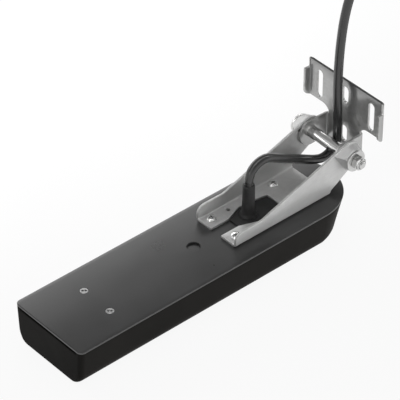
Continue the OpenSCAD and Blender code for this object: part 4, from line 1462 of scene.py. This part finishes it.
@dataclass
class PivotStack:
    """Bolt, spacer sleeve, large washers and lock nut on the pivot."""

    sleeve_r: float = 4.7
    sleeve_half: float = 17.7
    washer_r: float = 8.7
    bore_r: float = 3.06
    hex_af: float = 10.0
    head_r: float = 8.0
    head_h: float = 4.2
    nut_h: float = 6.0
    bolt_out: float = 1.2
    thread_r: float = 2.98
    thread_y: float = -24.0
    pitch: float = 1.0

    @property
    def washer_out(self) -> float:
        """Distance of the washers' outer faces from the middle."""
        return DATUM.seat_y + DATUM.washer_t

    @property
    def middle(self) -> Triple:
        """The pivot's axis at the middle of the part."""
        return (DATUM.pivot_x, 0.0, DATUM.pivot_z)

    def hexagon(self, turn: Array, along: Array, radius: Array) -> Array:
        """Radius held inside a hexagon: af / 2 / cos of the angle to the nearest flat."""
        sixth = math.pi / 6.0
        flat = (turn + sixth + 0.2) % (2.0 * sixth) - sixth
        return np.where(radius > 4.62, np.minimum(radius, self.hex_af / 2.0 / np.cos(flat)), radius)

    def bolt(self) -> Patch:
        """Round-headed bolt: elliptic dome r = R sin(a), h cos(a), plain shank, and a thread at its end.

        The thread is a ridge of triangular section whose phase follows the angle and the distance along.
        """
        seat, r, rows = self.washer_out, DATUM.bolt_r, 140
        arc = np.linspace(0.0, QUARTER, 14)
        fall = 0.7 * self.head_h * (1 - np.cos(arc))
        head = np.stack([self.head_r * np.sin(arc), seat + self.head_h - fall], -1)
        rest = [[self.head_r, seat + 0.3], [self.head_r - 0.3, seat], [r, seat], [r, -20.0]]
        end = -(seat + self.nut_h + self.bolt_out)
        thread = np.stack([np.full(rows, self.thread_r), np.linspace(self.thread_y, end + 0.45, rows)], -1)
        tip = [[2.45, end + 0.08], [2.3, end], [0.0, end]]
        mark = np.concatenate([np.sin(arc) ** 8, [0.6, 0.6, 0, 0], np.zeros(rows), [0.8, 0.6, 0]])

        def shape(turn: Array, along: Array, radius: Array) -> Array:
            """Ridges on the threaded end."""
            phase = (along / self.pitch + turn / FULL) % 1.0
            zone = smooth(self.thread_y - along) * (np.abs(radius - self.thread_r) < 1e-6)
            return radius - 0.32 * (1.0 - np.abs(2 * phase - 1.0)) * zone

        return revolve(np.vstack([head, rest, thread, tip]), self.middle, Axis.Y, 96, shape, mark)

    def nut(self) -> Patch:
        """Lock nut: hexagon with chamfered corners and a round collar over its insert."""
        inner = -self.washer_out
        outer = inner - self.nut_h
        t = np.linspace(0, 1, 8)
        chamfer = np.stack([4.65 + 1.35 * t, inner - 0.08 - 0.6 * t ** 1.2], -1)
        back = np.stack([6.0 - 1.35 * t, outer + 2.1 - 0.6 * t ** 0.8], -1)
        ring = np.array([[4.55, 1.3], [4.5, 0.9], [4.25, 0.35], [3.8, 0.05], [3.45, 0.0], [3.2, 0.2],
                         [self.bore_r, 0.5]]) + [0.0, outer]
        profile = np.vstack([[[self.bore_r, inner], [4.4, inner]], chamfer, back, ring])
        mark = np.concatenate([[0, 0.3], np.full(16, 0.8), [0, 0, 0.2, 0.2, 0, 0, 0]])
        return revolve(profile, self.middle, Axis.Y, 96, self.hexagon, mark, closed=True)

    def washer(self, side: int) -> Patch:
        """Large flat washer with a slightly rolled edge."""
        near, far = side * DATUM.seat_y, side * self.washer_out
        corners = [[self.bore_r, near], [self.washer_r, near], [self.washer_r, far], [self.bore_r, far]]
        return turned(corners, [0, 0.35, 0.5, 0], self.middle, Axis.Y, 72, 6, closed=True)

    def sleeve(self) -> Patch:
        """Spacer tube between the arms with broken edges."""
        h = self.sleeve_half
        corners = [[DATUM.hole_r, -h], [self.sleeve_r, -h], [self.sleeve_r, h], [DATUM.hole_r, h]]
        return turned(corners, [0, 0.3, 0.3, 0], self.middle, Axis.Y, 72, closed=True)

    def build(self, paint: Palette) -> None:
        """Makes the stack."""
        body, slot = Body.TRANSDUCER, "stainless_hardware"
        make_object("dome_bolt", self.bolt(), paint.dull, body, ["pivot_bolt"])
        make_object("lock_nut", self.nut(), paint.dull, body, ["pivot_nut"])
        for side, name in SIDE_NAMES:
            make_object(f"fender_washer_{name}", self.washer(side), paint.dull, body,
                        [f"pivot_washer_{name}"])
        make_object("spacer_sleeve", self.sleeve(), paint.hardware, Body.TRANSOM_MOUNT,
                    ["pivot_sleeve"])


# Stage


def placed(across: Array, back: Array, place: Sequence[float]) -> Matrix:
    """Placement of a lamp or camera from its sideways and backward directions."""
    turn = np.eye(4)
    turn[:3, :3] = np.stack([across, np.cross(back, across), back], -1)
    turn[:3, 3] = place
    return Matrix(turn.tolist())


@dataclass(frozen=True)
class SoftBox:
    """An area lamp."""

    name: str
    place: Triple
    aim: Triple
    size: tuple[float, float]
    power: float
    in_gloss: bool = True

    def build(self) -> None:
        """Makes the lamp, turned towards its aim."""
        lamp = bpy.data.lights.new(self.name, "AREA")
        lamp.shape, lamp.energy = "RECTANGLE", self.power
        lamp.size, lamp.size_y = self.size
        back = unit(np.array(self.place) - np.array(self.aim))
        across = unit(np.cross([0.0, 0.0, 1.0], back) + np.array([1e-9, 0.0, 0.0]))
        holder = link(self.name, lamp)
        holder.matrix_world = placed(across, back, self.place)
        holder.visible_camera = False
        holder.visible_glossy = self.in_gloss


@dataclass(frozen=True)
class Studio:
    """Camera, pale floor, white surroundings and lamps."""

    azimuth: float = -41.134
    elevation: float = 38.878
    distance: float = 2.13673
    target: Triple = (0.061148, 0.071435, -0.003405)
    lens: float = 252.585
    window: Triple = (-0.499, 0.585, 0.639)
    ambient: float = 0.24
    floor_half: float = 3000.0
    floor_z: float = -0.4
    floor_white: float = 0.92
    boxes: tuple[SoftBox, ...] = (
        SoftBox("far_box", (0.10, 0.30, 0.185), (0.10, 0.30, 0.0), (0.62, 0.24), 1.2),
        SoftBox("overhead", (-0.2, -0.1, 1.5), (0.0, 0.0, 0.03), (1.2, 1.2), 3.0),
        SoftBox("near_fill", (0.55, -1.35, 0.22), (0.05, 0.0, 0.05), (1.2, 0.5), 10.0, in_gloss=False),
    )

    def camera(self) -> None:
        """Long lens at the photograph's angle."""
        a, e = math.radians(self.azimuth), math.radians(self.elevation)
        back = np.array([math.sin(a) * math.cos(e), -math.cos(a) * math.cos(e), math.sin(e)])
        across = np.array([math.cos(a), math.sin(a), 0.0])
        lens = bpy.data.cameras.new("camera")
        lens.lens, lens.sensor_width, lens.sensor_fit, lens.clip_end = self.lens, 36.0, "HORIZONTAL", 30.0
        holder = link("camera", lens)
        holder.matrix_world = placed(across, back, np.array(self.target) + back * self.distance)
        bpy.context.scene.camera = holder

    def world(self) -> None:
        """White surroundings that light the object softly; gloss also shows a strip overhead and a window."""
        world = bpy.data.worlds.new("surroundings")
        world.use_nodes = True
        g = Graph(world.node_tree)
        path = g.add("ShaderNodeLightPath").outputs
        place = g.add("ShaderNodeTexCoord").outputs["Generated"]
        axes = g.add("ShaderNodeSeparateXYZ", {"Vector": place}).outputs
        sky = g.ranged(axes["Z"], 0.0, 0.6, 1.0, 0.12)
        aside = g.math("ABSOLUTE", g.math("ADD", axes["Y"], 0.2))
        above = g.ranged(axes["Z"], 0.1, 0.25, 0.0, 1.0)
        strip = g.math("MULTIPLY", g.ranged(aside, 0.03, 0.09, 5.0, 0.0), above)
        aim = g.add("ShaderNodeVectorMath", {0: place, 1: self.window}, operation="DOT_PRODUCT")
        window = g.ranged(aim.outputs["Value"], 0.965, 0.995, 0.0, 0.4)
        gloss = g.math("ADD", g.math("ADD", sky, strip), window)
        shown = g.math("MAXIMUM", path["Is Camera Ray"], path["Is Transmission Ray"])
        level = g.math("MAXIMUM", shown, g.math("MULTIPLY", path["Is Glossy Ray"], gloss))
        light = g.find("BACKGROUND")
        g.put(light.inputs["Color"], (1.0, 1.0, 1.0, 1.0))
        g.put(light.inputs["Strength"], g.math("MAXIMUM", level, self.ambient))
        bpy.context.scene.world = world

    def floor(self) -> None:
        """Wide pale floor with a soft shadow, white to the camera, in gloss and through glass."""
        span = np.linspace(-self.floor_half, self.floor_half, 5)
        x, y = np.meshgrid(span, span, indexing="ij")
        patch = surface(np.stack([x, y, np.full_like(x, self.floor_z)], -1))
        mesh = bpy.data.meshes.new("floor")
        mesh.from_pydata((patch.points * MM).tolist(), [], patch.quads.tolist())
        material = bpy.data.materials.new("pale_floor")
        material.use_nodes = True
        g = Graph(material.node_tree)
        shader = g.find("BSDF_PRINCIPLED")
        for socket, value in (("Base Color", (0.86, 0.86, 0.86, 1.0)), ("Roughness", 0.9),
                              ("Specular IOR Level", 0.1)):
            g.put(shader.inputs[socket], value)
        white = g.add("ShaderNodeEmission", {"Color": (1.0, 1.0, 1.0, 1.0), "Strength": 1.0})
        path = g.add("ShaderNodeLightPath").outputs
        seen = g.math("MAXIMUM", path["Is Camera Ray"],
                      g.math("MAXIMUM", path["Is Glossy Ray"], path["Is Transmission Ray"]))
        both = g.add("ShaderNodeMixShader", {0: g.math("MULTIPLY", seen, self.floor_white),
                                             1: shader.outputs[0], 2: white.outputs[0]})
        g.put(g.find("OUTPUT_MATERIAL").inputs["Surface"], both.outputs[0])
        mesh.materials.append(material)
        link("floor", mesh)

    def build(self) -> None:
        """Makes the stage."""
        bpy.context.scene.view_settings.view_transform = "Standard"
        self.world()
        self.floor()
        for box in self.boxes:
            box.build()


def main() -> None:
    """Builds the scene: frame, camera, cable, then the rigid pieces and the stage."""
    logging.basicConfig(level=logging.INFO, format="%(name)s: %(message)s")
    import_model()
    studio = Studio()
    studio.camera()
    paint = Palette()
    for part in (Cable(), SonarBody(), StrainRelief(), LowerBracket(), TransomPlate(), PivotStack()):
        part.build(paint)
    studio.build()


if __name__ == "__main__":
    main()
